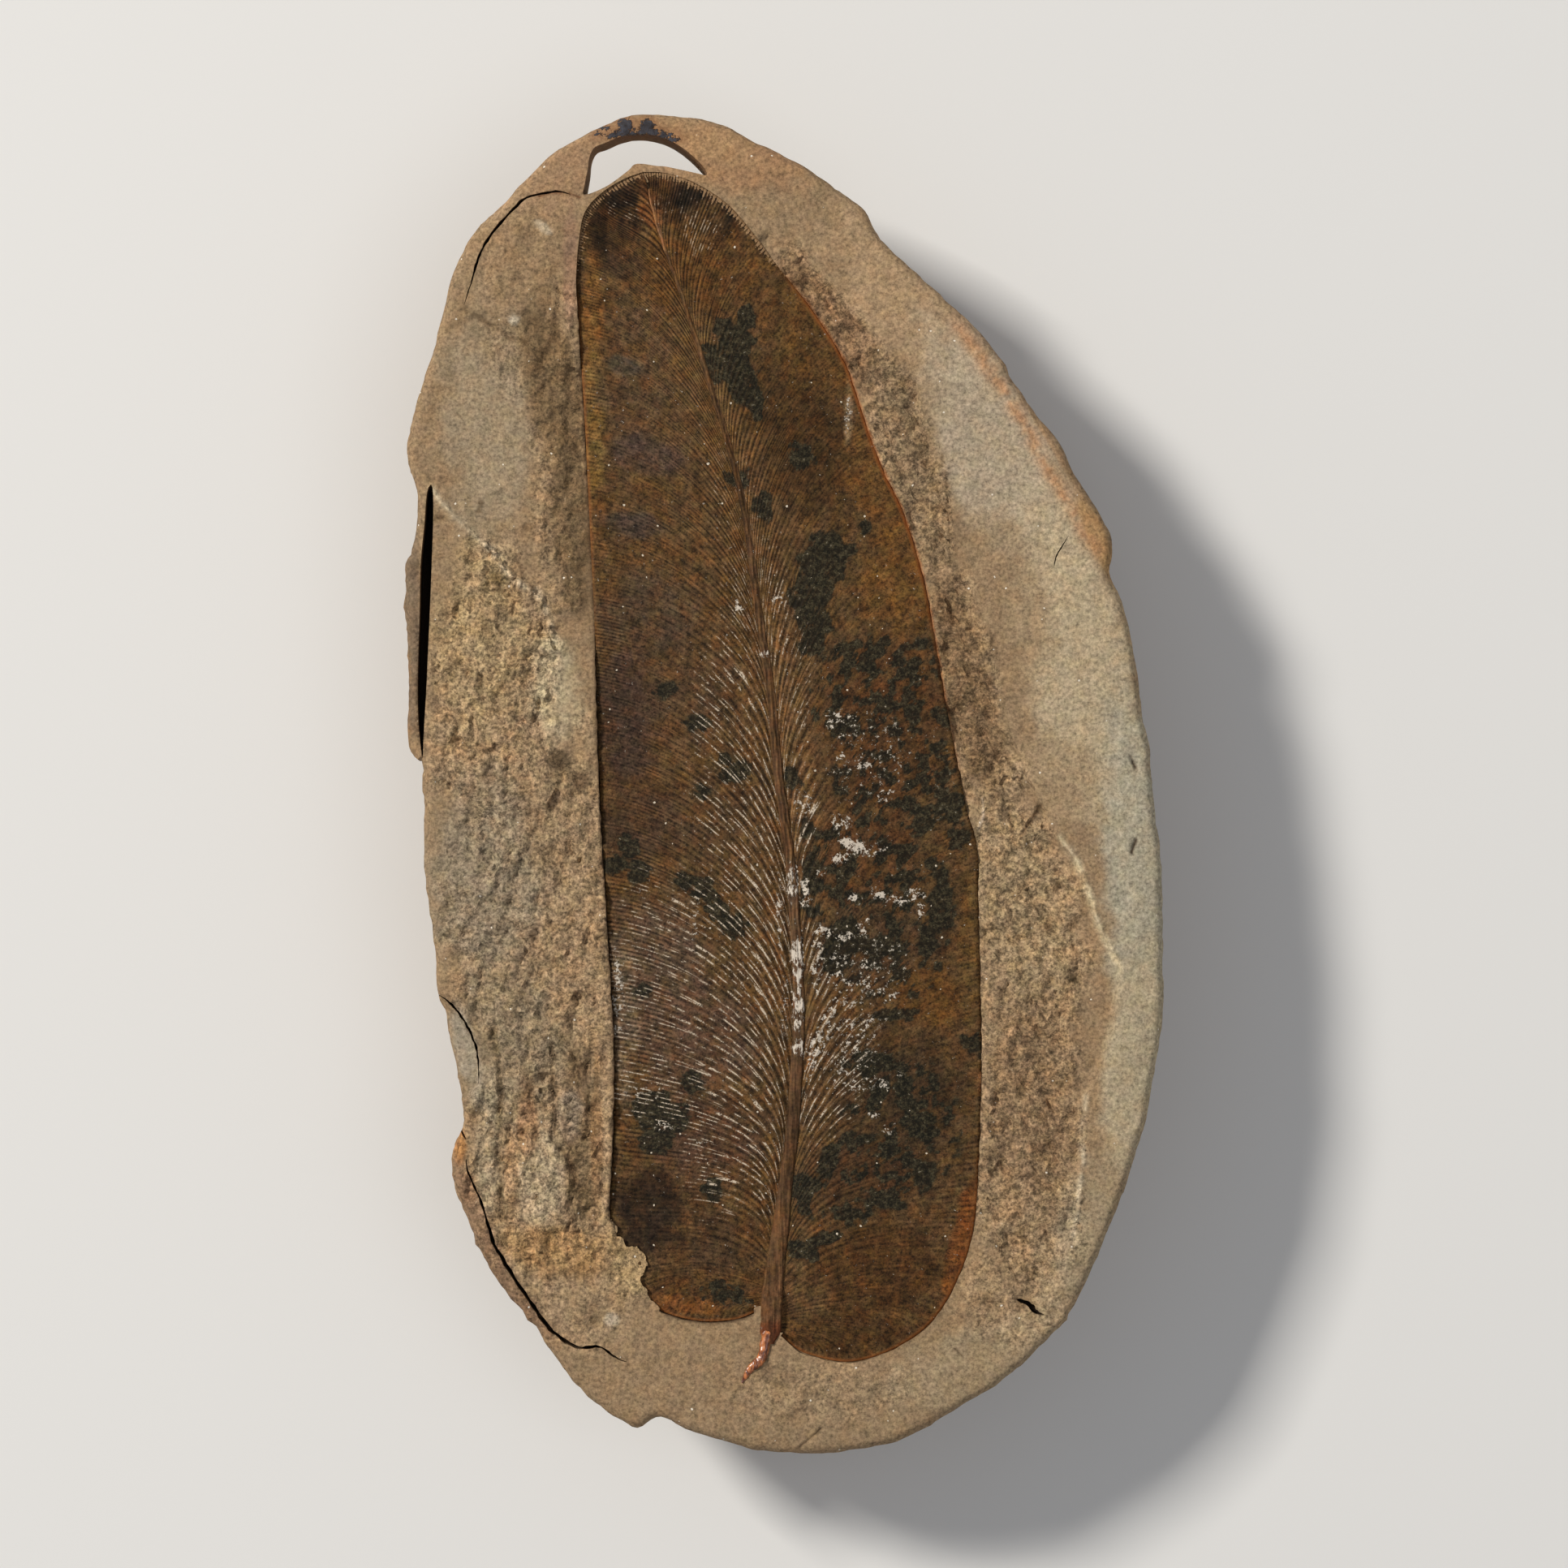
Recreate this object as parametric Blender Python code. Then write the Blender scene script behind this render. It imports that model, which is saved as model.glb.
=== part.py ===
"""One half of a split ironstone nodule with the impression of a large fossil leaflet on its face.

The plate lies on its rounded back with the split face up. +X is the plate's right side, +Y points to
the leaflet's tip and +Z is up. Plan sizes are in millimetres from the middle of the plate, and heights
are in millimetres above the surface that it rests on. The model itself is in metres.
"""

import math

import bmesh
import bpy
import numpy as np

MM = 0.001

# Driving heights and depths
FACE_Z = 20.0
RIM_ROLL = 1.8
SWELL = 0.8
BASE_SHARE = 0.42
BACK_LUMP = 0.45
LEAF_SINK = 0.75
LEAF_VAULT = 0.45
MIDRIB_VALLEY = 0.30
MIDRIB_RISE = 0.28
VEIN_HEIGHT = 0.16
RIGHT_ZONE_FLOOR = FACE_Z + 0.10
LEFT_ZONE_FLOOR = FACE_Z + 0.15
RIND_LEFT_FLOOR = FACE_Z - 1.3
RIND_LOW_FLOOR = FACE_Z - 0.7
SLOT_DEPTH = 9.0
PETIOLE_RADIUS = 0.55
PETIOLE_SINK = 0.20
PETIOLE_TAPER = 0.5

# The face's dome: how much of its swell is lost at these distances across and along the plate
DOME_ACROSS = (0.6, 37.0)
DOME_ALONG = (0.4, 65.0)

# The rounded back: how the flanks bend under, and its waves round the plate and down the flank
FLANK_POWER = 0.9
BACK_WAVES = (3, 5, 4)

# The leaflet's cross-section, in shares of a vein from the midrib to the margin
VAULT_SPAN = 1.15
VALLEY_SPAN = 0.12
RIDGE_RISE_SPAN = 0.20
RIDGE_FALL_SPAN = 0.30
RIDGE_AT_MARGIN = 0.35

# How veins are shared out along a side, by the margin's length and for the rest by the midrib's
MARGIN_WEIGHT = 0.62

# How a vein bends: its handles in shares of its reach, and its directions at the midrib and margin
NEAR_HANDLE = 0.37
FAR_HANDLE = 0.31
MARGIN_LEAN = 0.18
LEAVE_UPWARD = (0.25, 1.0)
LEAVE_OUTWARD = (0.9, 0.0)
LEAVE_SIDEWAYS = 0.1
BASE_FAN_HEIGHT = 10.3

# Mesh density
SEGMENTS = 124
RINGS = 20
FLAT_RINGS = 3
VEINS = 40
VEIN_STEPS = (1.0, 0.86, 0.70, 0.54, 0.38, 0.22, 0.08, 0.0)
GUIDE_STEPS = 1500
GUIDE_SMOOTHING = 41
CURVE_STEPS = 4000
CRACK_STEPS = 3
CRACK_BLUNTNESS = 0.6
MIDRIB_TANGENT_REACH = 2.0

# Cutters stand this far above the face, the leaflet's highest, and points this near are made one
CUTTER_TOP = FACE_Z + 5.0
PRESS_TOP = FACE_Z + 6.0
PATCH_BOTTOM = FACE_Z - 3.0
PATCH_TOP = FACE_Z + 8.0
HOLE_BOTTOM = -1.0
CAP_WELD = 0.001
GRID_WELD = 0.02
ZONE_EDGE_INSET = 0.15
RIGHT_ZONE_SPAN = (-51.5, 53.0)
LEFT_ZONE_SPAN = (14.0, 41.0)

STONE_COLOUR = (0.30, 0.225, 0.150, 1.0)
FILM_COLOUR = (0.105, 0.055, 0.026, 1.0)

# The plate's outline, clockwise from its upper end
OUTLINE = [
    (-13.7, 65.2), (-6.8, 64.4), (-2.8, 62.5), (1.7, 60.3), (5.3, 57.8), (7.8, 55.9), (9.0, 53.7),
    (10.5, 52.0), (16.2, 46.8), (19.2, 43.8), (21.4, 41.1), (22.2, 39.3), (24.7, 35.9), (26.8, 33.2),
    (28.3, 30.2), (30.5, 26.9), (31.8, 24.1), (32.0, 22.0), (31.7, 20.6), (32.5, 18.6), (33.5, 15.8),
    (34.1, 12.8), (35.1, 5.8), (35.7, 3.2), (36.0, -1.4), (36.8, -7.4), (36.9, -16.5), (36.8, -23.6),
    (35.9, -29.1), (35.0, -33.7), (33.5, -38.3), (31.2, -44.4), (28.9, -49.4), (27.1, -52.4),
    (23.8, -55.9), (20.5, -58.5), (16.0, -61.3), (12.4, -63.4), (8.1, -64.6), (3.9, -65.1),
    (0.3, -65.1), (-3.4, -64.6), (-9.0, -62.9), (-11.3, -61.8), (-12.4, -61.6), (-14.1, -62.6),
    (-15.4, -62.1), (-18.1, -60.4), (-20.7, -57.7), (-24.9, -51.9), (-28.7, -46.8), (-31.0, -41.6),
    (-32.0, -39.0), (-32.3, -36.5), (-32.0, -35.2), (-31.2, -33.4), (-31.1, -32.0), (-31.5, -29.2),
    (-32.7, -24.1), (-32.8, -22.2), (-33.6, -20.6), (-33.9, -16.7), (-34.6, -11.2), (-34.9, -7.4),
    (-35.1, 1.6), (-35.8, 2.4), (-36.6, 4.0), (-36.6, 10.0), (-36.8, 20.6), (-36.2, 22.6),
    (-35.7, 25.9), (-35.7, 28.4), (-36.5, 31.4), (-36.3, 34.3), (-35.8, 36.7), (-35.0, 39.6),
    (-33.9, 42.8), (-32.4, 48.6), (-31.6, 51.1), (-30.1, 53.6), (-27.5, 56.4), (-23.3, 60.6),
    (-20.7, 62.5), (-17.2, 64.1),
]

# The leaflet's midrib from tip to base, and half its width at some heights
MIDRIB = [
    (-13.5, 58.5), (-12.7, 56.2), (-11.9, 52.6), (-10.4, 49.1), (-9.4, 45.8), (-8.3, 42.6),
    (-7.3, 39.0), (-6.0, 35.2), (-4.8, 30.8), (-3.8, 26.6), (-3.1, 21.6), (-2.3, 15.3), (-1.2, 8.7),
    (-0.7, 1.5), (0.0, -2.8), (0.8, -9.1), (1.3, -17.0), (1.5, -22.5), (1.3, -26.5), (0.8, -34.4),
    (0.2, -38.3), (-0.4, -43.8), (-1.1, -48.6), (-1.4, -53.3),
]
MIDRIB_HALF_WIDTH = [
    (58.5, 0.10), (44.6, 0.20), (20.9, 0.32), (-10.7, 0.47), (-38.3, 0.63), (-50.2, 1.0), (-53.3, 1.0),
]

# Guide veins on each side: the height where a vein leaves the midrib, then where it meets the margin
LEFT_VEINS = [
    (-50.8, -2.9, -51.4), (-50.4, -4.9, -52.1), (-49.9, -8.5, -52.2), (-49.4, -12.4, -51.0),
    (-48.6, -15.2, -48.4), (-47.4, -16.5, -44.8), (-45.5, -16.9, -41.1), (-42.3, -16.6, -35.2),
    (-37.5, -16.5, -25.7), (-32.8, -16.9, -17.8), (-25.7, -17.5, -7.9), (-18.6, -17.9, -0.8),
    (-9.1, -18.2, 8.1), (0.4, -18.4, 15.4), (9.9, -18.8, 23.7), (19.4, -19.3, 34.0),
    (28.8, -19.9, 43.8), (35.9, -20.2, 49.0), (43.1, -19.9, 53.2), (48.6, -19.3, 55.7),
    (53.3, -17.7, 57.5), (56.5, -15.6, 58.8), (58.5, -13.7, 59.5),
]
RIGHT_VEINS = [
    (-53.3, -0.3, -53.6), (-53.2, 1.9, -55.3), (-52.9, 6.4, -56.2), (-52.3, 11.0, -54.8),
    (-51.4, 14.7, -51.9), (-50.2, 17.2, -47.4), (-48.1, 18.5, -42.7), (-44.6, 19.0, -35.2),
    (-39.9, 19.2, -26.5), (-35.2, 19.1, -19.8), (-28.0, 18.9, -11.5), (-23.3, 18.8, -6.3),
    (-18.6, 17.7, -2.0), (-9.1, 15.8, 7.5), (-4.3, 14.9, 12.6), (0.4, 13.5, 20.1), (5.1, 11.6, 26.3),
    (9.9, 9.7, 30.3), (14.6, 8.1, 34.5), (19.4, 6.8, 38.5), (24.1, 5.6, 41.5), (31.2, 2.7, 46.1),
    (38.3, -0.8, 50.6), (43.1, -2.8, 53.3), (48.6, -5.4, 56.3), (53.3, -8.6, 58.4),
    (56.5, -11.5, 59.4), (58.5, -13.7, 59.5),
]

# The crescent opening between the leaflet's tip and the plate's thin upper arch
HOLE = [
    (-19.4, 57.3), (-19.4, 58.2), (-19.1, 59.7), (-18.9, 61.0), (-18.4, 61.9), (-17.4, 62.3),
    (-16.0, 62.9), (-14.7, 63.2), (-13.3, 63.2), (-11.6, 62.8), (-9.8, 61.8), (-8.0, 60.2),
    (-7.5, 59.2), (-8.6, 59.4), (-11.3, 60.0), (-12.4, 60.1), (-13.8, 60.3), (-14.6, 60.2),
    (-15.2, 59.6), (-17.3, 58.1),
]

# Stone that covers the leaflet's edge at its lower left
PATCH = [
    (-18.2, -42.3), (-16.6, -42.8), (-15.6, -44.6), (-13.9, -45.3), (-13.3, -46.4), (-13.9, -47.9),
    (-13.1, -49.9), (-12.1, -51.1), (-13.9, -54.0), (-19.0, -50.2),
]

# Places where a layer of the face has come away: the ledge round each, which the leaflet's edge closes
RIGHT_ZONE = [
    (-1.6, 53.9), (2.7, 50.2), (8.7, 43.8), (13.0, 38.3), (15.2, 32.0), (15.8, 25.7), (16.2, 19.4),
    (17.7, 13.0), (20.9, 6.7), (24.1, 0.4), (26.8, -5.3), (28.3, -7.1), (30.5, -13.5), (33.0, -18.2),
    (32.1, -24.1), (30.0, -29.6), (29.0, -34.4), (28.8, -39.9), (28.2, -45.4), (25.6, -50.2),
    (20.9, -53.3), (16.2, -52.6),
]
LEFT_ZONE = [
    (-24.1, 40.7), (-25.7, 44.6), (-28.9, 46.1), (-31.2, 45.4), (-37.6, 43.1), (-37.6, 32.0),
    (-34.0, 28.7), (-31.1, 25.1), (-28.2, 22.6), (-26.3, 19.8), (-24.0, 18.6), (-22.4, 14.5),
]
RIND_LEFT = [
    (-34.85, 26.6), (-35.1, 24.1), (-35.25, 21.0), (-35.3, 16.2), (-35.4, 9.1), (-35.35, 4.5),
    (-35.25, 3.2), (-35.9, 1.9), (-38.4, 1.9), (-38.4, 25.7),
]
RIND_LOW = [
    (-33.6, -20.4), (-32.7, -21.1), (-31.2, -22.9), (-30.1, -25.2), (-29.8, -27.7), (-29.8, -29.4),
    (-30.8, -30.6), (-33.6, -29.6), (-34.9, -23.3),
]

# Open cracks: centre line, greatest width and depth
CRACKS = {
    "crack_upper_left": ([
        (-31.1, 46.6), (-30.3, 49.1), (-29.7, 51.1), (-28.6, 53.2), (-26.3, 55.9), (-25.0, 57.0),
        (-22.2, 57.6), (-20.7, 57.3),
    ], 0.42, 4.0),
    "crack_rind_low": ([
        (-33.9, -20.4), (-32.7, -21.1), (-31.9, -22.0), (-31.2, -22.9), (-30.6, -24.0), (-30.1, -25.2),
        (-29.8, -26.3), (-29.7, -27.7), (-29.7, -29.2),
    ], 0.42, 5.0),
    "crack_lower_left_short": ([(-31.7, -33.1), (-30.9, -34.6)], 0.22, 3.0),
    "crack_lower_left": ([
        (-30.9, -36.4), (-30.7, -37.8), (-29.4, -40.8), (-28.3, -44.4), (-27.4, -46.1), (-24.8, -50.2),
        (-22.7, -53.0), (-21.8, -53.8), (-19.9, -54.8), (-18.0, -54.7), (-16.3, -55.8), (-15.2, -56.2),
    ], 0.62, 8.0),
    "pit_lower_right": ([(22.6, -50.1), (23.8, -50.6), (24.5, -51.3), (25.3, -51.6)], 0.35, 1.0),
    "crack_right": ([(27.7, 24.2), (26.5, 22.2), (26.2, 21.0)], 0.12, 1.2),
}
SLOT = [
    (-34.2, 29.0), (-34.1, 26.1), (-34.3, 20.1), (-34.5, 15.1), (-34.8, 8.7), (-35.05, 4.2),
    (-35.15, 2.5), (-35.5, 4.4), (-35.7, 8.0), (-35.65, 12.3), (-35.5, 16.7), (-35.4, 21.0),
    (-35.0, 25.0), (-34.7, 28.4),
]

PETIOLE = [(-1.5, -52.4), (-1.7, -54.3), (-2.2, -55.8), (-3.4, -57.0), (-4.1, -58.2)]

# Low swells of the face: middle, spread across and along, height
LUMPS = [
    ((-22.9, -39.3), (3.0, 5.5), 0.9),
    ((-25.5, -26.0), (2.2, 9.0), 0.6),
    ((-31.5, -28.0), (2.0, 8.0), 0.3),
    ((-28.0, 8.0), (4.5, 12.0), 0.5),
    ((-26.0, 50.0), (4.0, 5.0), 0.5),
    ((27.0, 12.0), (6.0, 22.0), 0.5),
    ((33.0, -26.0), (3.0, 14.0), 0.4),
    ((4.0, -60.0), (14.0, 4.0), 0.3),
]


def curve_point(points, place):
    """The point at a place, counted in points, on the smooth curve through a list of points."""
    last = len(points) - 1
    i = min(max(int(place), 0), last - 1)
    f = place - i
    a, b, c, d = (np.array(points[min(max(k, 0), last)]) for k in (i - 1, i, i + 1, i + 2))
    bend = 2 * a - 5 * b + 4 * c - d
    return 0.5 * (2 * b + (c - a) * f + bend * f * f + (3 * b - a - 3 * c + d) * f ** 3)


def closed_curve(points, count):
    """Evenly spaced points on the smooth closed curve through a list of points."""
    n = len(points)
    looped = [points[k % n] for k in range(-2, n + 3)]
    places = np.linspace(2, 2 + n, CURVE_STEPS + 1)
    fine = np.array([curve_point(looped, place) for place in places])
    run = np.r_[0, np.cumsum(np.hypot(*np.diff(fine, axis=0).T))]
    wanted = np.linspace(0, run[-1], count, endpoint=False)
    return np.stack([np.interp(wanted, run, fine[:, k]) for k in range(2)], axis=1)


def swell(x, y):
    """How far the split face stands above its reference height, highest in the middle."""
    (loss_across, half_width), (loss_along, half_length) = DOME_ACROSS, DOME_ALONG
    return SWELL * (1 - loss_across * (x / half_width) ** 2 - loss_along * (y / half_length) ** 2)


def face_height(x, y):
    """The height of the bare face, before the leaflet and the ledges are cut."""
    z = FACE_Z + swell(x, y)
    for (cx, cy), (sx, sy), height in LUMPS:
        z += height * math.exp(-((x - cx) / sx) ** 2 - ((y - cy) / sy) ** 2)
    return z


def material(name, colour, roughness):
    """A plain Principled material."""
    made = bpy.data.materials.new(name)
    made.use_nodes = True
    shader = made.node_tree.nodes["Principled BSDF"]
    shader.inputs["Base Color"].default_value = colour
    shader.inputs["Roughness"].default_value = roughness
    shader.inputs["Metallic"].default_value = 0.0
    return made


def add_object(name, mesh, collection, finish):
    """Puts a bmesh into the scene as a named object."""
    data = bpy.data.meshes.new(name)
    mesh.to_mesh(data)
    mesh.free()
    data.materials.append(finish)
    made = bpy.data.objects.new(name, data)
    collection.objects.link(made)
    return made


def make_blank(collection, finish):
    """The nodule half without its details: a sphere's rings drawn out to the plate's outline."""
    rim = closed_curve(OUTLINE[::-1], SEGMENTS)
    rim -= (rim.max(axis=0) + rim.min(axis=0)) / 2
    start = int(np.argmin(np.abs(np.arctan2(rim[:, 1], rim[:, 0]))))
    rim = np.roll(rim, -start, axis=0)
    ring_angle = math.pi / RINGS
    curved_rings = RINGS // 2 - FLAT_RINGS
    mesh = bmesh.new()
    bmesh.ops.create_uvsphere(mesh, u_segments=SEGMENTS, v_segments=RINGS, radius=1)
    for vertex in mesh.verts:
        turn = math.atan2(vertex.co.y, vertex.co.x) / (2 * math.pi) * SEGMENTS
        edge = rim[round(turn) % SEGMENTS]
        ring = round(math.asin(max(-1.0, min(1.0, vertex.co.z))) / ring_angle)
        if ring >= 0:
            share = math.sqrt(math.cos(ring * ring_angle)) if ring < RINGS // 2 else 0.0
            x, y = edge * share
            inset = (1 - share) * float(np.hypot(*edge))
            z = face_height(x, y) - RIM_ROLL * max(0.0, 1 - inset / RIM_ROLL) ** 2
        else:
            step = min(-ring / curved_rings, 1.0)
            below = (-ring - curved_rings) / FLAT_RINGS
            share = BASE_SHARE + (1 - BASE_SHARE) * math.cos(step * math.pi / 2) ** FLANK_POWER
            if below > 0:
                share = BASE_SHARE * (1 - below)
            x, y = edge * share
            rim_z = face_height(*edge) - RIM_ROLL
            around = math.atan2(edge[1], edge[0])
            broad, narrow, down = BACK_WAVES
            lump = BACK_LUMP * math.sin(broad * around + 1) * math.sin(narrow * around + down * step)
            z = rim_z * (1 - math.sin(step * math.pi / 2)) + lump * math.sin(math.pi * step)
            z = max(z, 0.0)
        vertex.co = (x * MM, y * MM, z * MM)
    return add_object("nodule", mesh, collection, finish)


def make_prism(name, points, low, high, collection, finish):
    """An upright solid on a flat outline, from one height to another."""
    flat = bpy.data.curves.new(name, "CURVE")
    flat.dimensions = "2D"
    flat.fill_mode = "BOTH"
    flat.extrude = (high - low) / 2 * MM
    spline = flat.splines.new("POLY")
    spline.points.add(len(points) - 1)
    for point, (x, y) in zip(spline.points, points):
        point.co = (x * MM, y * MM, 0, 1)
    spline.use_cyclic_u = True
    drawn = bpy.data.objects.new(name, flat)
    drawn.location.z = (high + low) / 2 * MM
    bpy.context.scene.collection.objects.link(drawn)
    bpy.context.view_layer.update()
    evaluated = drawn.evaluated_get(bpy.context.evaluated_depsgraph_get())
    mesh = bmesh.new()
    mesh.from_mesh(bpy.data.meshes.new_from_object(evaluated))
    mesh.transform(drawn.matrix_world)
    bpy.data.objects.remove(drawn)
    bmesh.ops.remove_doubles(mesh, verts=mesh.verts, dist=CAP_WELD * MM)
    bmesh.ops.recalc_face_normals(mesh, faces=mesh.faces)
    return add_object(name, mesh, collection, finish)


def crack_outline(line, width):
    """The outline of an open crack: widest in the middle of its line and closed at both ends."""
    steps = CRACK_STEPS * (len(line) - 1)
    places = [curve_point(line, k / CRACK_STEPS) for k in range(steps + 1)]
    left, right = [], []
    for k in range(1, steps):
        along = places[k + 1] - places[k - 1]
        across = np.array([-along[1], along[0]]) / np.hypot(*along)
        half = width / 2 * math.sin(math.pi * k / steps) ** CRACK_BLUNTNESS
        left.append(tuple(places[k] + across * half))
        right.append(tuple(places[k] - across * half))
    return [tuple(places[0])] + left + [tuple(places[-1])] + right[::-1]


def midrib_at(height):
    """The midrib's middle, its upward direction and half its width at a height on the plate."""
    line = np.array(MIDRIB[::-1])
    reach = MIDRIB_TANGENT_REACH
    x, low, high = (float(np.interp(height + d, line[:, 1], line[:, 0])) for d in (0, -reach, reach))
    along = np.array([high - low, 2 * reach])
    widths = np.array(MIDRIB_HALF_WIDTH[::-1])
    half = float(np.interp(height, widths[:, 0], widths[:, 1]))
    return np.array([(x + low + high) / 3, height]), along / np.hypot(*along), half


def vein_guides(guides, count):
    """Guide rows at even steps along the margin and the midrib, each with the margin's direction."""
    places = np.linspace(0, len(guides) - 1, GUIDE_STEPS)
    rows = np.array([curve_point(guides, place) for place in places])
    on_midrib = np.abs(np.diff(rows[:, 0]))
    on_margin = np.hypot(*np.diff(rows[:, 1:], axis=0).T)
    along_margin = MARGIN_WEIGHT * on_margin / on_margin.sum()
    along_midrib = (1 - MARGIN_WEIGHT) * on_midrib / on_midrib.sum()
    run = np.r_[0, np.cumsum(along_margin + along_midrib)]
    wanted = np.linspace(0, 1, count)
    picked = np.stack([np.interp(wanted, run, rows[:, k]) for k in range(3)], axis=1)
    direction = np.gradient(rows[:, 1:], axis=0)
    kernel = np.ones(GUIDE_SMOOTHING) / GUIDE_SMOOTHING
    ends = GUIDE_SMOOTHING // 2
    smooth = [np.convolve(np.pad(direction[:, k], ends, mode="edge"), kernel, "valid") for k in range(2)]
    margin = np.stack([np.interp(wanted, run, part) for part in smooth], axis=1)
    return picked, margin / np.hypot(*margin.T)[:, None]


def vein_curves(guides, side, count):
    """Each vein's points, from the midrib's edge to the margin, at the steps of VEIN_STEPS."""
    rows, margins = vein_guides(guides, count)
    base = guides[0][0]
    curves = []
    for (height, x, y), margin in zip(rows, margins):
        middle, upward, half = midrib_at(height)
        end = np.array([x, y])
        reach = np.hypot(*(end - middle))
        outward = (end - middle) / reach
        sideways = np.array([-upward[1], upward[0]]) * -side
        inward = np.array([-margin[1], margin[0]]) * side
        inward = inward - MARGIN_LEAN * margin
        inward = inward / np.hypot(*inward)
        lift = min((height - base) / BASE_FAN_HEIGHT, 1.0)
        lift = lift * lift * (3 - 2 * lift)
        up = np.interp(lift, (0, 1), LEAVE_UPWARD)
        out = np.interp(lift, (0, 1), LEAVE_OUTWARD)
        leaving = upward * up + outward * out + sideways * LEAVE_SIDEWAYS
        leaving = leaving / np.hypot(*leaving)
        start = middle + sideways * half
        near = start + NEAR_HANDLE * reach * leaving
        far = end + FAR_HANDLE * reach * inward
        curves.append([
            (1 - t) ** 3 * start + 3 * (1 - t) ** 2 * t * near + 3 * (1 - t) * t * t * far + t ** 3 * end
            for t in VEIN_STEPS
        ])
    return curves


def leaf_height(x, y, t, row):
    """The leaflet's surface at share t of a vein: vaulted halves, a midrib valley and ridged veins."""
    vault = LEAF_VAULT * math.sin(math.pi * min(1.0, VAULT_SPAN * (1 - t)) / 2)
    valley = MIDRIB_VALLEY * math.exp(-(t / VALLEY_SPAN) ** 2)
    fade = min(1.0, t / RIDGE_RISE_SPAN) * min(1.0, RIDGE_AT_MARGIN + (1 - t) / RIDGE_FALL_SPAN)
    ridge = VEIN_HEIGHT * fade * (0.5 if row % 2 else -0.5)
    return FACE_Z + swell(x, y) - LEAF_SINK + vault - valley + ridge


def leaf_edge(curves, span):
    """Points just inside the leaflet's margin between two heights on the plate, from the base upwards."""
    low, high = span
    inside = [ZONE_EDGE_INSET * curve[1] + (1 - ZONE_EDGE_INSET) * curve[0] for curve in curves[::3]]
    return [tuple(point) for point in inside if low < point[1] < high]


def make_leaf_press(left, right, collection, finish):
    """The cutter whose underside is the leaflet: a grid laid along the veins, and raised walls."""
    count = len(left)
    steps = len(VEIN_STEPS)
    columns = 2 * steps + 1
    mesh = bmesh.new()
    bmesh.ops.create_grid(mesh, x_segments=columns - 1, y_segments=count - 1, size=1)
    for vertex in mesh.verts:
        column = round((vertex.co.x + 1) / 2 * (columns - 1))
        row = round((vertex.co.y + 1) / 2 * (count - 1))
        if column < steps:
            (x, y), t = left[row][column], VEIN_STEPS[column]
            z = leaf_height(x, y, t, row)
        elif column > steps:
            (x, y), t = right[row][columns - 1 - column], VEIN_STEPS[columns - 1 - column]
            z = leaf_height(x, y, t, row)
        else:
            x, y = (left[row][-1] + right[row][-1]) / 2
            z = leaf_height(x, y, 0.0, 0) + MIDRIB_RISE
        vertex.co = (x * MM, y * MM, z * MM)
    bmesh.ops.remove_doubles(mesh, verts=mesh.verts, dist=GRID_WELD * MM)
    raised = bmesh.ops.extrude_face_region(mesh, geom=mesh.faces[:], use_keep_orig=True)
    for item in raised["geom"]:
        if isinstance(item, bmesh.types.BMVert):
            item.co.z = PRESS_TOP * MM
    bmesh.ops.recalc_face_normals(mesh, faces=mesh.faces)
    return add_object("leaf_press", mesh, collection, finish)


def make_petiole(collection, finish):
    """The broken leaf stalk, a round thread half sunk in the face below the leaflet."""
    thread = bpy.data.curves.new("petiole", "CURVE")
    thread.dimensions = "3D"
    thread.bevel_depth = PETIOLE_RADIUS * MM
    thread.bevel_resolution = 2
    thread.use_fill_caps = True
    spline = thread.splines.new("POLY")
    count = 2 * (len(PETIOLE) - 1)
    spline.points.add(count)
    for k, point in enumerate(spline.points):
        x, y = curve_point(PETIOLE, k / 2)
        point.co = (x * MM, y * MM, (face_height(x, y) - PETIOLE_SINK) * MM, 1)
        point.radius = 1 - PETIOLE_TAPER * k / count
    drawn = bpy.data.objects.new("petiole_curve", thread)
    bpy.context.scene.collection.objects.link(drawn)
    bpy.context.view_layer.update()
    evaluated = drawn.evaluated_get(bpy.context.evaluated_depsgraph_get())
    mesh = bmesh.new()
    mesh.from_mesh(bpy.data.meshes.new_from_object(evaluated))
    bpy.data.objects.remove(drawn)
    bmesh.ops.remove_doubles(mesh, verts=mesh.verts, dist=CAP_WELD * MM)
    bmesh.ops.recalc_face_normals(mesh, faces=mesh.faces)
    return add_object("petiole", mesh, collection, finish)


def apply_boolean(target, tool, operation):
    """Adds an exact Boolean to an object, with the tool hidden as a guide."""
    modifier = target.modifiers.new(tool.name, "BOOLEAN")
    modifier.operation = operation
    modifier.solver = "EXACT"
    modifier.material_mode = "TRANSFER"
    modifier.object = tool
    tool.hide_render = True
    tool.display_type = "WIRE"


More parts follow.
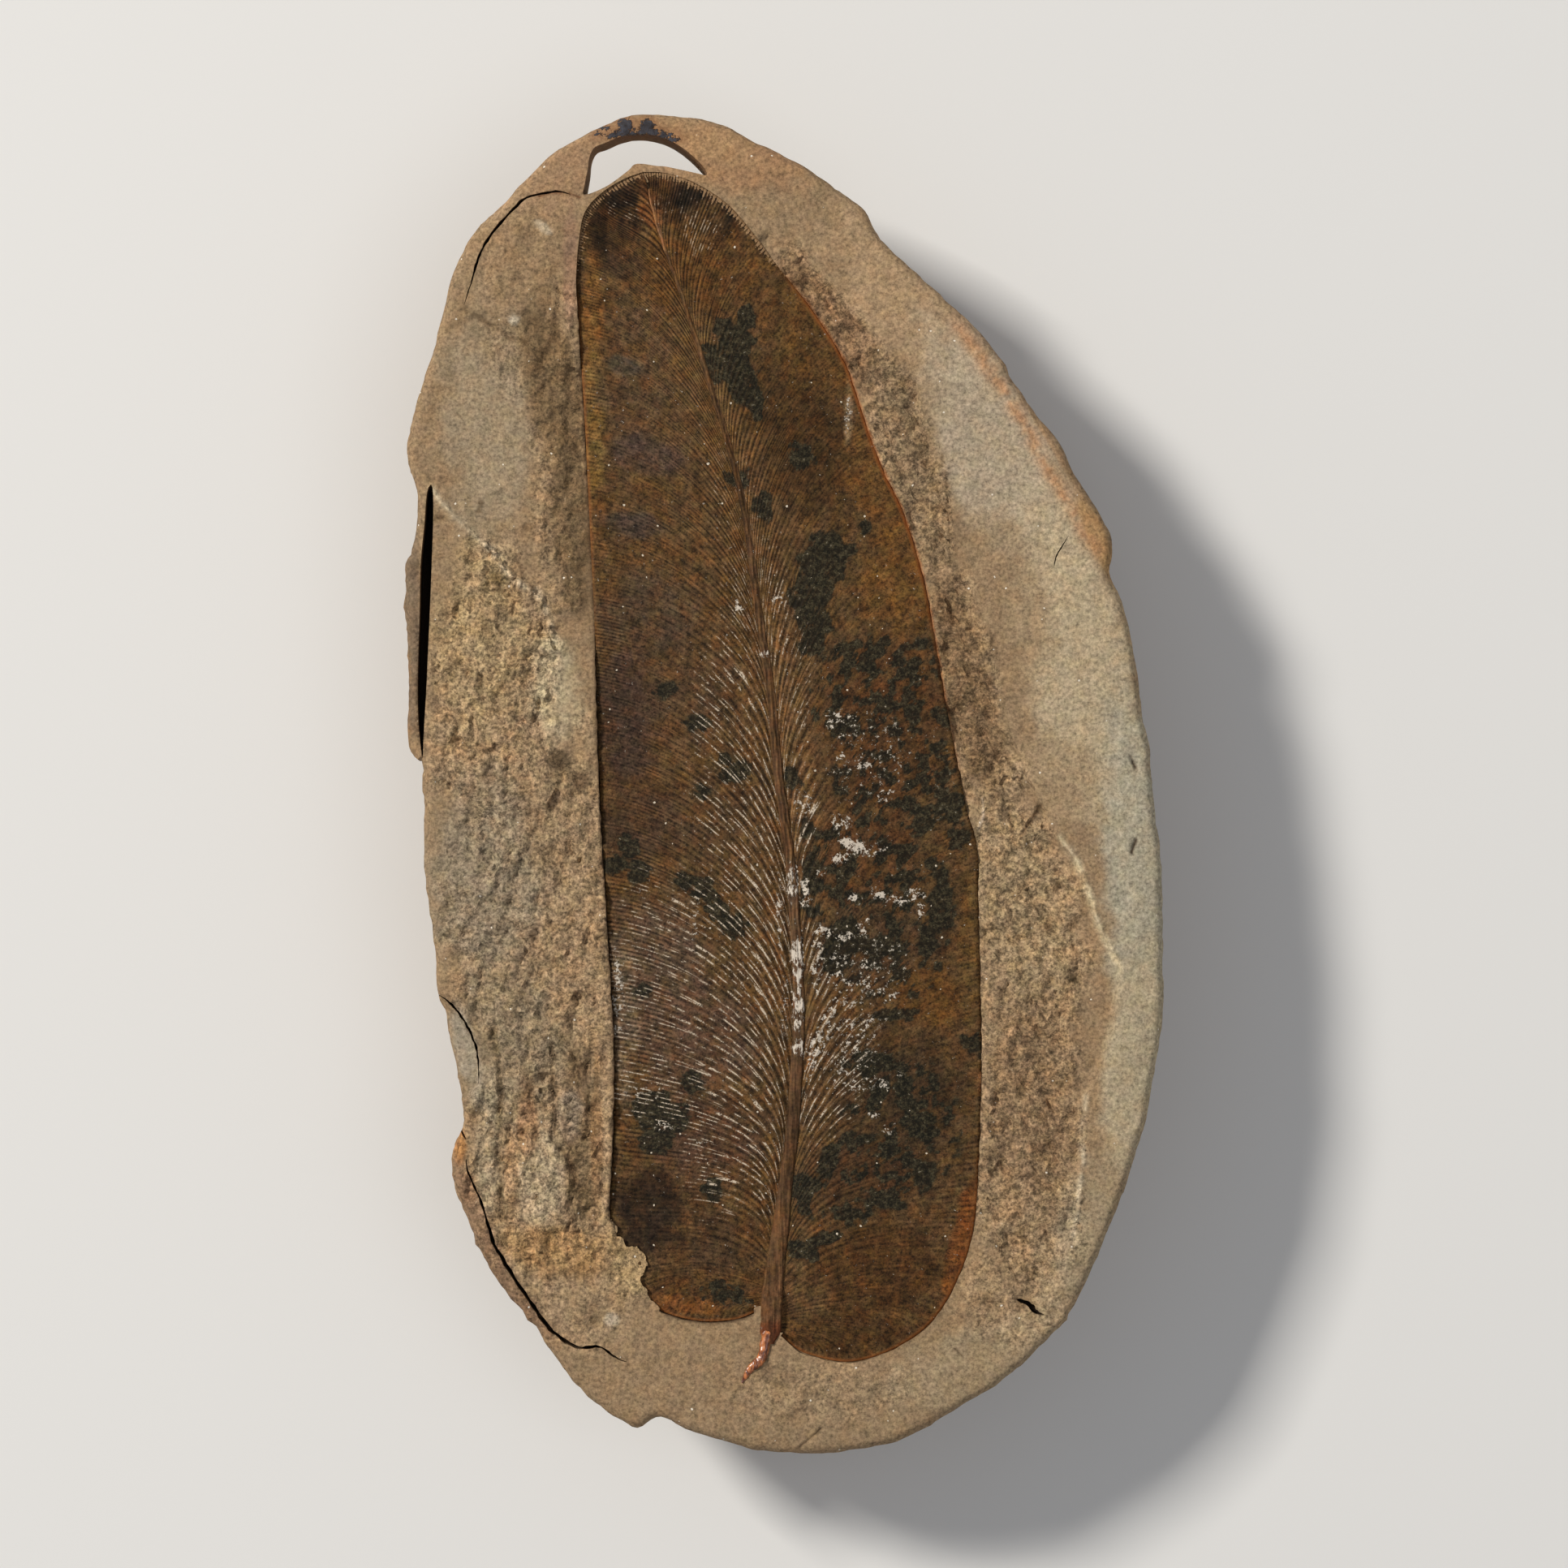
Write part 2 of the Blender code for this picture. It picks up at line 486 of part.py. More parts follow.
def main():
    for old in list(bpy.data.objects):
        bpy.data.objects.remove(old)
    parts = bpy.data.collections.new("fossil_leaf_plate")
    cutters = bpy.data.collections.new("cutters")
    bpy.context.scene.collection.children.link(parts)
    bpy.context.scene.collection.children.link(cutters)
    stone = material("ironstone", STONE_COLOUR, 0.85)
    film = material("leaf_film", FILM_COLOUR, 0.55)

    nodule = make_blank(parts, stone)
    left = vein_curves(LEFT_VEINS, -1, 2 * VEINS + 1)
    right = vein_curves(RIGHT_VEINS, 1, 2 * VEINS + 1)
    zones = {
        "zone_right": (RIGHT_ZONE + leaf_edge(right, RIGHT_ZONE_SPAN), RIGHT_ZONE_FLOOR),
        "zone_left": (LEFT_ZONE + leaf_edge(left, LEFT_ZONE_SPAN), LEFT_ZONE_FLOOR),
        "rind_left": (RIND_LEFT, RIND_LEFT_FLOOR),
        "rind_low": (RIND_LOW, RIND_LOW_FLOOR),
    }
    for name, (points, floor) in zones.items():
        zone = make_prism(name, points, floor, CUTTER_TOP, cutters, stone)
        apply_boolean(nodule, zone, "DIFFERENCE")
    press = make_leaf_press(left, right, cutters, film)
    patch = make_prism("patch", PATCH, PATCH_BOTTOM, PATCH_TOP, cutters, stone)
    apply_boolean(press, patch, "DIFFERENCE")
    apply_boolean(nodule, press, "DIFFERENCE")
    apply_boolean(nodule, make_petiole(cutters, film), "UNION")
    for name, (line, width, depth) in CRACKS.items():
        outline = crack_outline(line, width)
        crack = make_prism(name, outline, FACE_Z - depth, CUTTER_TOP, cutters, stone)
        apply_boolean(nodule, crack, "DIFFERENCE")
    slot = make_prism("slot_left", SLOT, FACE_Z - SLOT_DEPTH, CUTTER_TOP, cutters, stone)
    apply_boolean(nodule, slot, "DIFFERENCE")
    hole = make_prism("tip_opening", HOLE, HOLE_BOTTOM, CUTTER_TOP, cutters, stone)
    apply_boolean(nodule, hole, "DIFFERENCE")


main()
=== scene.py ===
"""The look of a split ironstone nodule with a large fossil leaflet on its face.

Plan sizes and heights are in millimetres in the plate's own frame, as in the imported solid: +X is the plate's
right side, +Y points to the leaflet's tip and the split face looks up. Marks are placed by their pixel in
the photograph and turned into millimetres by plan(). Meshes are made in metres.
"""

import math

import bmesh
import bpy
import numpy as np
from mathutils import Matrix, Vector, noise
from mathutils.geometry import delaunay_2d_cdt
from mathutils.kdtree import KDTree


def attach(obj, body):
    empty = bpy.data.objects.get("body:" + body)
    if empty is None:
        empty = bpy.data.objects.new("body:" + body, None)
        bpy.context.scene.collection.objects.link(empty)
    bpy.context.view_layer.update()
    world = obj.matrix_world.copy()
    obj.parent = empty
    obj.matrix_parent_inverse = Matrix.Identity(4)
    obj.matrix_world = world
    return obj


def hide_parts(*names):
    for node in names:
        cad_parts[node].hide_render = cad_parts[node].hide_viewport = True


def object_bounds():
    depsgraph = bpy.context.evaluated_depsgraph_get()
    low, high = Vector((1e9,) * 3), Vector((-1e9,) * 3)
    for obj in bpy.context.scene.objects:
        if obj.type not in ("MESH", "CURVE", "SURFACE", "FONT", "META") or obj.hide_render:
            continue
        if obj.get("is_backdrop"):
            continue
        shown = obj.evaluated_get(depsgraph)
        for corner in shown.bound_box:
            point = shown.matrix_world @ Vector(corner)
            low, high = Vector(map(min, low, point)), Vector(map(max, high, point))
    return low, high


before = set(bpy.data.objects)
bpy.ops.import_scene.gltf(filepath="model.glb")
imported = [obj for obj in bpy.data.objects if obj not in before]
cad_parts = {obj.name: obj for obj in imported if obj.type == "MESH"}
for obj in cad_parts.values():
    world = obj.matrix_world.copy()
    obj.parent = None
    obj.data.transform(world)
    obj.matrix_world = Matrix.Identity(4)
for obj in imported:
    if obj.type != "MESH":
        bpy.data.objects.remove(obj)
cad_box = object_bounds()

MM = 0.001
BODY = "root"

# The photograph: its width in pixels, the pixel at the frame's origin and a pixel's size on the face
PHOTO_WIDTH = 1932
PHOTO_CENTRE = (965.5, 965.0)
PIXEL = 0.079

# Driving heights, as in the solid
FACE_Z = 20.0
SWELL = 0.8
DOME_ACROSS = (0.6, 37.0)
DOME_ALONG = (0.4, 65.0)
BASE_SHARE = 0.42
BACK_LUMP = 0.45
FLANK_POWER = 0.9
BACK_WAVES = (3, 5, 4)
LEAF_SINK = 0.75
LEAF_VAULT = 0.45
VAULT_SPAN = 1.15
MIDRIB_VALLEY = 0.30
VALLEY_SPAN = 0.12
MIDRIB_RISE = 0.28
RIGHT_ZONE_FLOOR = FACE_Z + 0.10
LEFT_ZONE_FLOOR = FACE_Z + 0.15
RIND_LEFT_FLOOR = FACE_Z - 1.3
RIND_LOW_FLOOR = FACE_Z - 0.7

# A tighter rim and a shallower slot than the solid's
RIM_ROLL = 0.8
SLOT_DEPTH = 5.5

# How the veins run, as in the solid
MARGIN_WEIGHT = 0.62
NEAR_HANDLE = 0.37
FAR_HANDLE = 0.31
MARGIN_LEAN = 0.18
LEAVE_UPWARD = (0.25, 1.0)
LEAVE_OUTWARD = (0.9, 0.0)
LEAVE_SIDEWAYS = 0.1
BASE_FAN_HEIGHT = 10.3
MIDRIB_TANGENT_REACH = 2.0

# The stone's mesh: spacing on the bare face, under the leaflet and round the rim, and rings down the back
FACE_SPACING = 0.34
HIDDEN_SPACING = 1.6
HIDDEN_DEPTH = 0.5
RIM_POINTS = 640
FLANK_RINGS = 40
FLAT_RINGS = 4
LINE_SPACING = 0.16
LINE_OFFSETS = (-0.3, -0.15, 0, 0.15, 0.3)
SHARP_ANGLE = math.radians(48)

# The stone's relief: tallest grit, size and seed of chips, the strata's lean left and right, flat patch
TALLEST_GRIT = 0.38
LARGE_CHIPS = (2.6, 11)
SMALL_CHIPS = (1.15, 12)
CHIP_TABLE = 61
STRATA_LEAN = (-0.08, 0.59)
FLAT_PATCH = (15.5, 27.0)

# Tops and bottoms of what cuts the stone, and the rows and columns of the leaflet's press
CUTTER_TOP = FACE_Z + 5
PRESS_TOP = FACE_Z + 6
PATCH_TOP = FACE_Z + 8
PATCH_BOTTOM = FACE_Z - 3
HOLE_BOTTOM = -1
PRESS_ROWS = 561
PRESS_STEPS = np.array([1.0, 0.9, 0.78, 0.64, 0.5, 0.36, 0.22, 0.1, 0.0])
PRESS_WELD = 0.02
LEAF_GAP = 0.15

# Steps along curves, guides and each stretch of a crack, and points on each side of the leaflet's margin
CURVE_STEPS = 4001
GUIDE_STEPS = 1500
GUIDE_SMOOTHING = 41
CRACK_STEPS = 6
CRACK_BLUNTNESS = 0.6
MARGIN_POINTS = 200
FINE_MARGIN_POINTS = 400

# The leaflet's mesh: primary veins on a side, rows for each of them, columns from the midrib to the margin
VEINS = 40
ROWS_PER_VEIN = 32
LEAF_COLUMNS = 66
COLUMN_POWER = 1.12
SKIRT_OUT = 0.04
SKIRT_DOWN = 0.5

# Relief of the veins and edges, and the forks: place at the base and the tip, and how far the veins part
VEIN_CREST = 0.26
WIDEST_PITCH = 0.5
CREST_SHARE = 0.55
EDGE_LIFT = 0.22
TIP_LIFT = 0.42
FORKS = ((0.09, -0.20, 1 / 4), (0.36, -0.02, 1 / 8), (0.70, 0.42, 1 / 16))
FORK_SPREAD = 0.11
FORK_LENGTH = 0.16
BASE_SOONER = 0.32

# The midrib's and the stalk's meshes: rows and columns, the midrib's span and the stalk's half width along it
MIDRIB_GRID = (620, 27)
MIDRIB_SPAN = (57.9, -54.4)
PETIOLE_GRID = (160, 20)
PETIOLE_WIDTHS = ((0, 0.1, 0.35, 0.6, 0.85, 1), (0.25, 0.52, 0.5, 0.45, 0.22, 0.04))

# Camera and studio: lens and sensor, the height at which the frame is the photograph's width, and the lamps
LENS = 150
SENSOR = 36
FRAMED_HEIGHT = FACE_Z - 0.4
LAMPS = {
    "key": ((-1.30, 0.85, 1.40), 0.36, 41.0, (1.0, 0.97, 0.92)),
    "fill": ((0.75, -0.3, 2.25), 1.5, 8.0, (0.95, 0.97, 1.0)),
}
SURROUND = (0.9, 0.93, 1.0, 1)
SURROUND_STRENGTH = 0.27
FLOOR_HALF = 2.0
FLOOR_DROP = 0.0002

# The plate's outline, clockwise from its upper end
OUTLINE = [
    (-13.7, 65.2), (-6.8, 64.4), (-2.8, 62.5), (1.7, 60.3), (5.3, 57.8), (7.8, 55.9), (9.0, 53.7),
    (10.5, 52.0), (16.2, 46.8), (19.2, 43.8), (21.4, 41.1), (22.2, 39.3), (24.7, 35.9), (26.8, 33.2),
    (28.3, 30.2), (30.5, 26.9), (31.8, 24.1), (32.0, 22.0), (31.7, 20.6), (32.5, 18.6), (33.5, 15.8),
    (34.1, 12.8), (35.1, 5.8), (35.7, 3.2), (36.0, -1.4), (36.8, -7.4), (36.9, -16.5), (36.8, -23.6),
    (35.9, -29.1), (35.0, -33.7), (33.5, -38.3), (31.2, -44.4), (28.9, -49.4), (27.1, -52.4),
    (23.8, -55.9), (20.5, -58.5), (16.0, -61.3), (12.4, -63.4), (8.1, -64.6), (3.9, -65.1),
    (0.3, -65.1), (-3.4, -64.6), (-9.0, -62.9), (-11.3, -61.8), (-12.4, -61.6), (-14.1, -62.6),
    (-15.4, -62.1), (-18.1, -60.4), (-20.7, -57.7), (-24.9, -51.9), (-28.7, -46.8), (-31.0, -41.6),
    (-32.0, -39.0), (-32.3, -36.5), (-32.0, -35.2), (-31.2, -33.4), (-31.1, -32.0), (-31.5, -29.2),
    (-32.7, -24.1), (-32.8, -22.2), (-33.6, -20.6), (-33.9, -16.7), (-34.6, -11.2), (-34.9, -7.4),
    (-35.1, 1.6), (-35.8, 2.4), (-36.6, 4.0), (-36.6, 10.0), (-36.8, 20.6), (-36.2, 22.6),
    (-35.7, 25.9), (-35.7, 28.4), (-36.5, 31.4), (-36.3, 34.3), (-35.8, 36.7), (-35.0, 39.6),
    (-33.9, 42.8), (-32.4, 48.6), (-31.6, 51.1), (-30.1, 53.6), (-27.5, 56.4), (-23.3, 60.6),
    (-20.7, 62.5), (-17.2, 64.1),
]

# The leaflet's midrib from tip to base, and half its width at some heights
MIDRIB = [
    (-13.5, 58.5), (-12.7, 56.2), (-11.9, 52.6), (-10.4, 49.1), (-9.4, 45.8), (-8.3, 42.6),
    (-7.3, 39.0), (-6.0, 35.2), (-4.8, 30.8), (-3.8, 26.6), (-3.1, 21.6), (-2.3, 15.3), (-1.2, 8.7),
    (-0.7, 1.5), (0.0, -2.8), (0.8, -9.1), (1.3, -17.0), (1.5, -22.5), (1.3, -26.5), (0.8, -34.4),
    (0.2, -38.3), (-0.4, -43.8), (-1.1, -48.6), (-1.4, -53.3),
]
MIDRIB_HALF_WIDTH = [
    (58.5, 0.10), (44.6, 0.20), (20.9, 0.32), (-10.7, 0.47), (-38.3, 0.63), (-50.2, 1.0), (-53.3, 1.0),
]

# Guide veins on each side: the height where a vein leaves the midrib, then where it meets the margin.
# Near the tip the right ones leave the midrib lower than the solid's do.
LEFT_VEINS = [
    (-50.8, -2.9, -51.4), (-50.4, -4.9, -52.1), (-49.9, -8.5, -52.2), (-49.4, -12.4, -51.0),
    (-48.6, -15.2, -48.4), (-47.4, -16.5, -44.8), (-45.5, -16.9, -41.1), (-42.3, -16.6, -35.2),
    (-37.5, -16.5, -25.7), (-32.8, -16.9, -17.8), (-25.7, -17.5, -7.9), (-18.6, -17.9, -0.8),
    (-9.1, -18.2, 8.1), (0.4, -18.4, 15.4), (9.9, -18.8, 23.7), (19.4, -19.3, 34.0),
    (28.8, -19.9, 43.8), (35.9, -20.2, 49.0), (43.1, -19.9, 53.2), (48.6, -19.3, 55.7),
    (53.3, -17.7, 57.5), (56.5, -15.6, 58.8), (58.5, -13.7, 59.5),
]
RIGHT_VEINS = [
    (-53.3, -0.3, -53.6), (-53.2, 1.9, -55.3), (-52.9, 6.4, -56.2), (-52.3, 11.0, -54.8),
    (-51.4, 14.7, -51.9), (-50.2, 17.2, -47.4), (-48.1, 18.5, -42.7), (-44.6, 19.0, -35.2),
    (-39.9, 19.2, -26.5), (-35.2, 19.1, -19.8), (-28.0, 18.9, -11.5), (-23.3, 18.8, -6.3),
    (-18.6, 17.7, -2.0), (-9.1, 15.8, 7.5), (-4.3, 14.9, 12.6), (0.4, 13.5, 20.1), (5.1, 11.6, 26.3),
    (9.9, 9.7, 30.3), (14.6, 8.1, 34.5), (19.4, 6.8, 38.5), (24.1, 5.6, 41.5), (31.2, 2.7, 46.1),
    (36.5, -0.8, 50.6), (40.0, -2.8, 53.3), (44.0, -5.4, 56.3), (48.5, -8.6, 58.4),
    (53.5, -11.5, 59.4), (58.5, -13.7, 59.5),
]

# The opening at the tip, and the stone that covers the leaflet's edge at its lower left
HOLE = [
    (-19.4, 57.3), (-19.4, 58.2), (-19.1, 59.7), (-18.9, 61.0), (-18.4, 61.9), (-17.4, 62.3),
    (-16.0, 62.9), (-14.7, 63.2), (-13.3, 63.2), (-11.6, 62.8), (-9.8, 61.8), (-8.0, 60.2),
    (-7.5, 59.2), (-8.6, 59.4), (-11.3, 60.0), (-12.4, 60.1), (-13.8, 60.3), (-14.6, 60.2),
    (-15.2, 59.6), (-17.3, 58.1),
]
PATCH = [
    (-18.2, -42.3), (-16.6, -42.8), (-15.6, -44.6), (-13.9, -45.3), (-13.3, -46.4), (-13.9, -47.9),
    (-13.1, -49.9), (-12.1, -51.1), (-13.9, -54.0), (-19.0, -50.2),
]

# Where a layer of the face has come away, reaching in under the leaflet, and the lowered rind flakes
RIGHT_ZONE = [
    (-1.6, 53.9), (2.7, 50.2), (8.7, 43.8), (13.0, 38.3), (15.2, 32.0), (15.8, 25.7), (16.2, 19.4),
    (17.7, 13.0), (20.9, 6.7), (24.1, 0.4), (26.8, -5.3), (28.3, -7.1), (30.5, -13.5), (33.0, -18.2),
    (32.1, -24.1), (30.0, -29.6), (29.0, -34.4), (28.8, -39.9), (28.2, -45.4), (25.6, -50.2),
    (20.9, -53.3), (16.2, -52.6), (10.0, -50.0), (5.0, 0.0), (0.0, 30.0), (-6.0, 50.0),
]
LEFT_ZONE = [
    (-24.1, 40.7), (-25.7, 44.6), (-28.9, 46.1), (-31.2, 45.4), (-37.6, 43.1), (-37.6, 32.0),
    (-34.0, 28.7), (-31.1, 25.1), (-28.2, 22.6), (-26.3, 19.8), (-24.0, 18.6), (-22.4, 14.5),
    (-15.0, 14.5), (-15.0, 40.0),
]
RIND_LEFT = [
    (-34.85, 26.6), (-35.1, 24.1), (-35.25, 21.0), (-35.3, 16.2), (-35.4, 9.1), (-35.35, 4.5),
    (-35.25, 3.2), (-35.9, 1.9), (-38.4, 1.9), (-38.4, 25.7),
]
RIND_LOW = [
    (-33.6, -20.4), (-32.7, -21.1), (-31.2, -22.9), (-30.1, -25.2), (-29.8, -27.7), (-29.8, -29.4),
    (-30.8, -30.6), (-33.6, -29.6), (-34.9, -23.3),
]

# Open cracks: centre line, greatest width and depth; and the slot at the left edge
CRACKS = {
    "crack_upper_left": ([
        (-31.1, 46.6), (-30.3, 49.1), (-29.7, 51.1), (-28.6, 53.2), (-26.3, 55.9), (-25.0, 57.0),
        (-22.2, 57.6), (-20.7, 57.3),
    ], 0.30, 4.0),
    "crack_rind_low": ([
        (-33.9, -20.4), (-32.7, -21.1), (-31.9, -22.0), (-31.2, -22.9), (-30.6, -24.0), (-30.1, -25.2),
        (-29.8, -26.3), (-29.7, -27.7), (-29.7, -29.2),
    ], 0.28, 2.6),
    "crack_lower_left_short": ([(-31.7, -33.1), (-30.9, -34.6)], 0.22, 3.0),
    "crack_lower_left": ([
        (-30.9, -36.4), (-30.7, -37.8), (-29.4, -40.8), (-28.3, -44.4), (-27.4, -46.1), (-24.8, -50.2),
        (-22.7, -53.0), (-21.8, -53.8), (-19.9, -54.8), (-18.0, -54.7), (-16.3, -55.8), (-15.2, -56.2),
    ], 0.37, 2.4),
    "pit_lower_right": ([(22.6, -50.1), (23.8, -50.6), (24.5, -51.3), (25.3, -51.6)], 0.50, 1.6),
    "crack_right": ([(27.7, 24.2), (26.5, 22.2), (26.2, 21.0)], 0.12, 1.2),
}
SLOT = [
    (-34.2, 29.0), (-34.1, 26.1), (-34.3, 20.1), (-34.5, 15.1), (-34.8, 8.7), (-35.05, 4.2),
    (-35.15, 2.5), (-35.5, 4.4), (-35.7, 8.0), (-35.65, 12.3), (-35.5, 16.7), (-35.4, 21.0),
    (-35.0, 25.0), (-34.7, 28.4),
]

# The stalk's middle line, and low swells of the face: middle, spread across and along, height
PETIOLE = [(-1.6, -53.0), (-1.8, -54.3), (-2.2, -55.8), (-3.4, -57.0), (-4.1, -58.2)]
LUMPS = [
    ((-22.9, -39.3), (3.0, 5.5), 0.9),
    ((-25.5, -26.0), (2.2, 9.0), 0.6),
    ((-31.5, -28.0), (2.0, 8.0), 0.3),
    ((-28.0, 8.0), (4.5, 12.0), 0.5),
    ((-26.0, 50.0), (4.0, 5.0), 0.5),
    ((27.0, 12.0), (6.0, 22.0), 0.5),
    ((33.0, -26.0), (3.0, 14.0), 0.4),
    ((4.0, -60.0), (14.0, 4.0), 0.3),
]

# Rough, broken parts of the face, by their pixels in the photograph: middle, radii, lean and strength
ROUGH_PLACES = [
    ((690, 560), (40, 230), 0, 0.65),
    ((640, 440), (40, 60), -20, 0.5),
    ((610, 860), (90, 205), 0, 1.0),
    ((680, 1150), (150, 260), 0, 0.9),
    ((735, 1440), (80, 150), 0, 0.9),
    ((775, 1555), (40, 50), 0, 0.8),
    ((1172, 965), (36, 90), 0, 0.8),
    ((1215, 1250), (40, 330), 0, 0.8),
    ((660, 1430), (105, 170), 0, 1.0),
    ((700, 1600), (90, 70), 0, 0.5),
    ((640, 320), (55, 80), 0, 0.2),
    ((1030, 400), (34, 130), -38, 1.0),
    ((1120, 570), (42, 175), -16, 1.0),
    ((1195, 850), (42, 170), -12, 1.0),
    ((1262, 1120), (72, 190), -14, 1.0),
    ((1270, 1400), (72, 230), 0, 1.0),
    ((1250, 1590), (80, 70), 20, 0.6),
    ((1010, 1710), (130, 40), 0, 0.35),
]

# Tints of the stone, laid on one after another: middle, radii, lean, colour as seen and strength;
# and the rind's two browns below the rim
RIND_BROWN = (136, 110, 80)
RIND_RUSTY = (150, 114, 74)
STONE_GROUND = (146, 121, 91)
# A few of these tints are painted light: darker ones on slopes that face away from the light are painted
# shade, and a pale one on a lit bump is a painted highlight.
STONE_TINTS = [
    ((900, 195), (110, 45), 12, (155, 119, 85), 0.85),
    ((1130, 370), (150, 90), 45, (166, 138, 105), 0.85),
    ((1230, 560), (80, 190), -24, (169, 152, 127), 0.9),
    ((1330, 820), (75, 240), -12, (178, 159, 128), 0.95),
    ((1400, 1080), (45, 260), -4, (166, 156, 133), 0.95),
    ((1395, 1300), (40, 160), 6, (170, 154, 125), 0.9),
    ((1330, 1520), (50, 120), 22, (152, 134, 106), 0.8),
    ((1240, 740), (60, 120), -14, (146, 121, 91), 0.7),
    ((1034, 410), (32, 140), -38, (122, 95, 68), 0.9),
    ((1122, 570), (40, 165), -14, (128, 106, 79), 0.95),
    ((1192, 850), (36, 165), -12, (114, 91, 65), 0.95),
    ((1255, 1110), (62, 150), -14, (145, 123, 92), 0.8),
    ((1270, 1370), (62, 150), 0, (126, 102, 75), 0.85),
    ((1262, 1520), (50, 80), 10, (139, 115, 86), 0.7),
    ((1300, 960), (60, 60), -30, (159, 134, 102), 0.7),
    ((1200, 1680), (150, 50), -20, (153, 133, 104), 0.8),
    ((1000, 1745), (170, 50), 0, (143, 120, 91), 0.8),
    ((860, 1700), (110, 50), 20, (145, 120, 91), 0.8),
    ((640, 240), (70, 60), 40, (156, 128, 97), 0.75),
    ((660, 320), (60, 70), 0, (141, 115, 84), 0.7),
    ((600, 520), (60, 150), 0, (153, 134, 107), 0.95),
    ((625, 420), (50, 50), 0, (140, 118, 90), 0.7),
    # Painted shade: these two darker tints lie on the slope down to the leaflet's left margin, which faces
    # away from the light.
    ((682, 475), (40, 120), -14, (103, 82, 56), 0.85),
    ((704, 640), (28, 130), -4, (107, 86, 60), 0.9),
    ((590, 790), (70, 130), 0, (147, 124, 91), 0.9),
    ((685, 850), (34, 70), 0, (168, 150, 119), 0.9),
    ((600, 1080), (85, 140), 0, (134, 119, 97), 0.85),
    ((680, 1020), (50, 70), 0, (138, 116, 88), 0.6),
    ((630, 1290), (80, 110), 0, (129, 113, 89), 0.85),
    ((600, 1410), (18, 110), 0, (150, 133, 106), 0.8),
    # Painted shade: a darker tint on a slope beside the leaflet's margin that faces away from the light.
    ((712, 1400), (24, 120), 0, (108, 87, 62), 0.8),
    ((633, 394), (8, 7), 0, (190, 176, 152), 0.6),
    ((668, 279), (14, 6), 40, (186, 170, 146), 0.6),
    # Painted highlight: a pale tint on the lit side of a bump.
    ((668, 1450), (34, 80), 0, (160, 141, 112), 0.85),
    ((690, 1540), (80, 36), 10, (150, 117, 77), 0.85),
    # Painted shade: a darker tint on the bump's side that faces away from the light.
    ((716, 1460), (20, 60), 0, (112, 92, 66), 0.8),
    ((700, 1370), (20, 34), 0, (146, 130, 110), 0.6),
    ((630, 1450), (8, 60), 0, (158, 124, 88), 0.5),
    ((720, 1620), (80, 40), 30, (146, 122, 93), 0.7),
    ((1352, 665), (14, 70), -24, (163, 127, 84), 0.9),
    ((1270, 500), (8, 150), -30, (160, 124, 86), 0.6),
    ((703, 330), (10, 80), 0, (145, 114, 90), 0.8),
    ((566, 1412), (10, 30), 0, (160, 112, 66), 0.8),
    ((650, 1380), (14, 50), 0, (152, 112, 76), 0.6),
    ((574, 1292), (18, 60), -12, (152, 139, 119), 0.9),
    ((588, 1500), (15, 90), -22, (128, 101, 76), 0.9),
    ((640, 1600), (15, 80), -38, (126, 99, 74), 0.9),
    ((775, 1555), (34, 44), 0, (158, 132, 94), 0.8),
    ((753, 1624), (10, 9), 0, (188, 174, 152), 0.6),
    ((735, 1400), (8, 110), 0, (132, 98, 64), 0.6),
    ((700, 215), (60, 40), -50, (158, 124, 92), 0.6),
    ((860, 172), (90, 26), 14, (166, 132, 94), 0.7),
    ((815, 212), (66, 12), 0, (160, 128, 94), 0.8),
    ((742, 244), (30, 12), -38, (154, 124, 90), 0.8),
    ((505, 760), (14, 175), 0, (118, 99, 78), 0.95),
    ((690, 935), (18, 14), 20, (84, 68, 48), 0.85),
    ((714, 962), (13, 14), 0, (88, 70, 50), 0.8),
    ((612, 713), (9, 12), 0, (104, 86, 58), 0.8),
    ((960, 1694), (26, 16), 10, (118, 97, 72), 0.8),
    ((592, 619), (5, 5), 0, (104, 84, 60), 0.8),
    ((590, 629), (4, 4), 0, (104, 84, 60), 0.8),
    ((541, 637), (7, 4), 0, (92, 72, 50), 0.9),
    ((651, 649), (9, 5), 0, (116, 92, 66), 0.8),
    ((1321, 1205), (7, 6), 0, (74, 60, 42), 0.9),
    ((1330, 1478), (6, 6), 0, (74, 60, 42), 0.9),
    ((1295, 1295), (5, 5), 0, (80, 64, 46), 0.8),
]
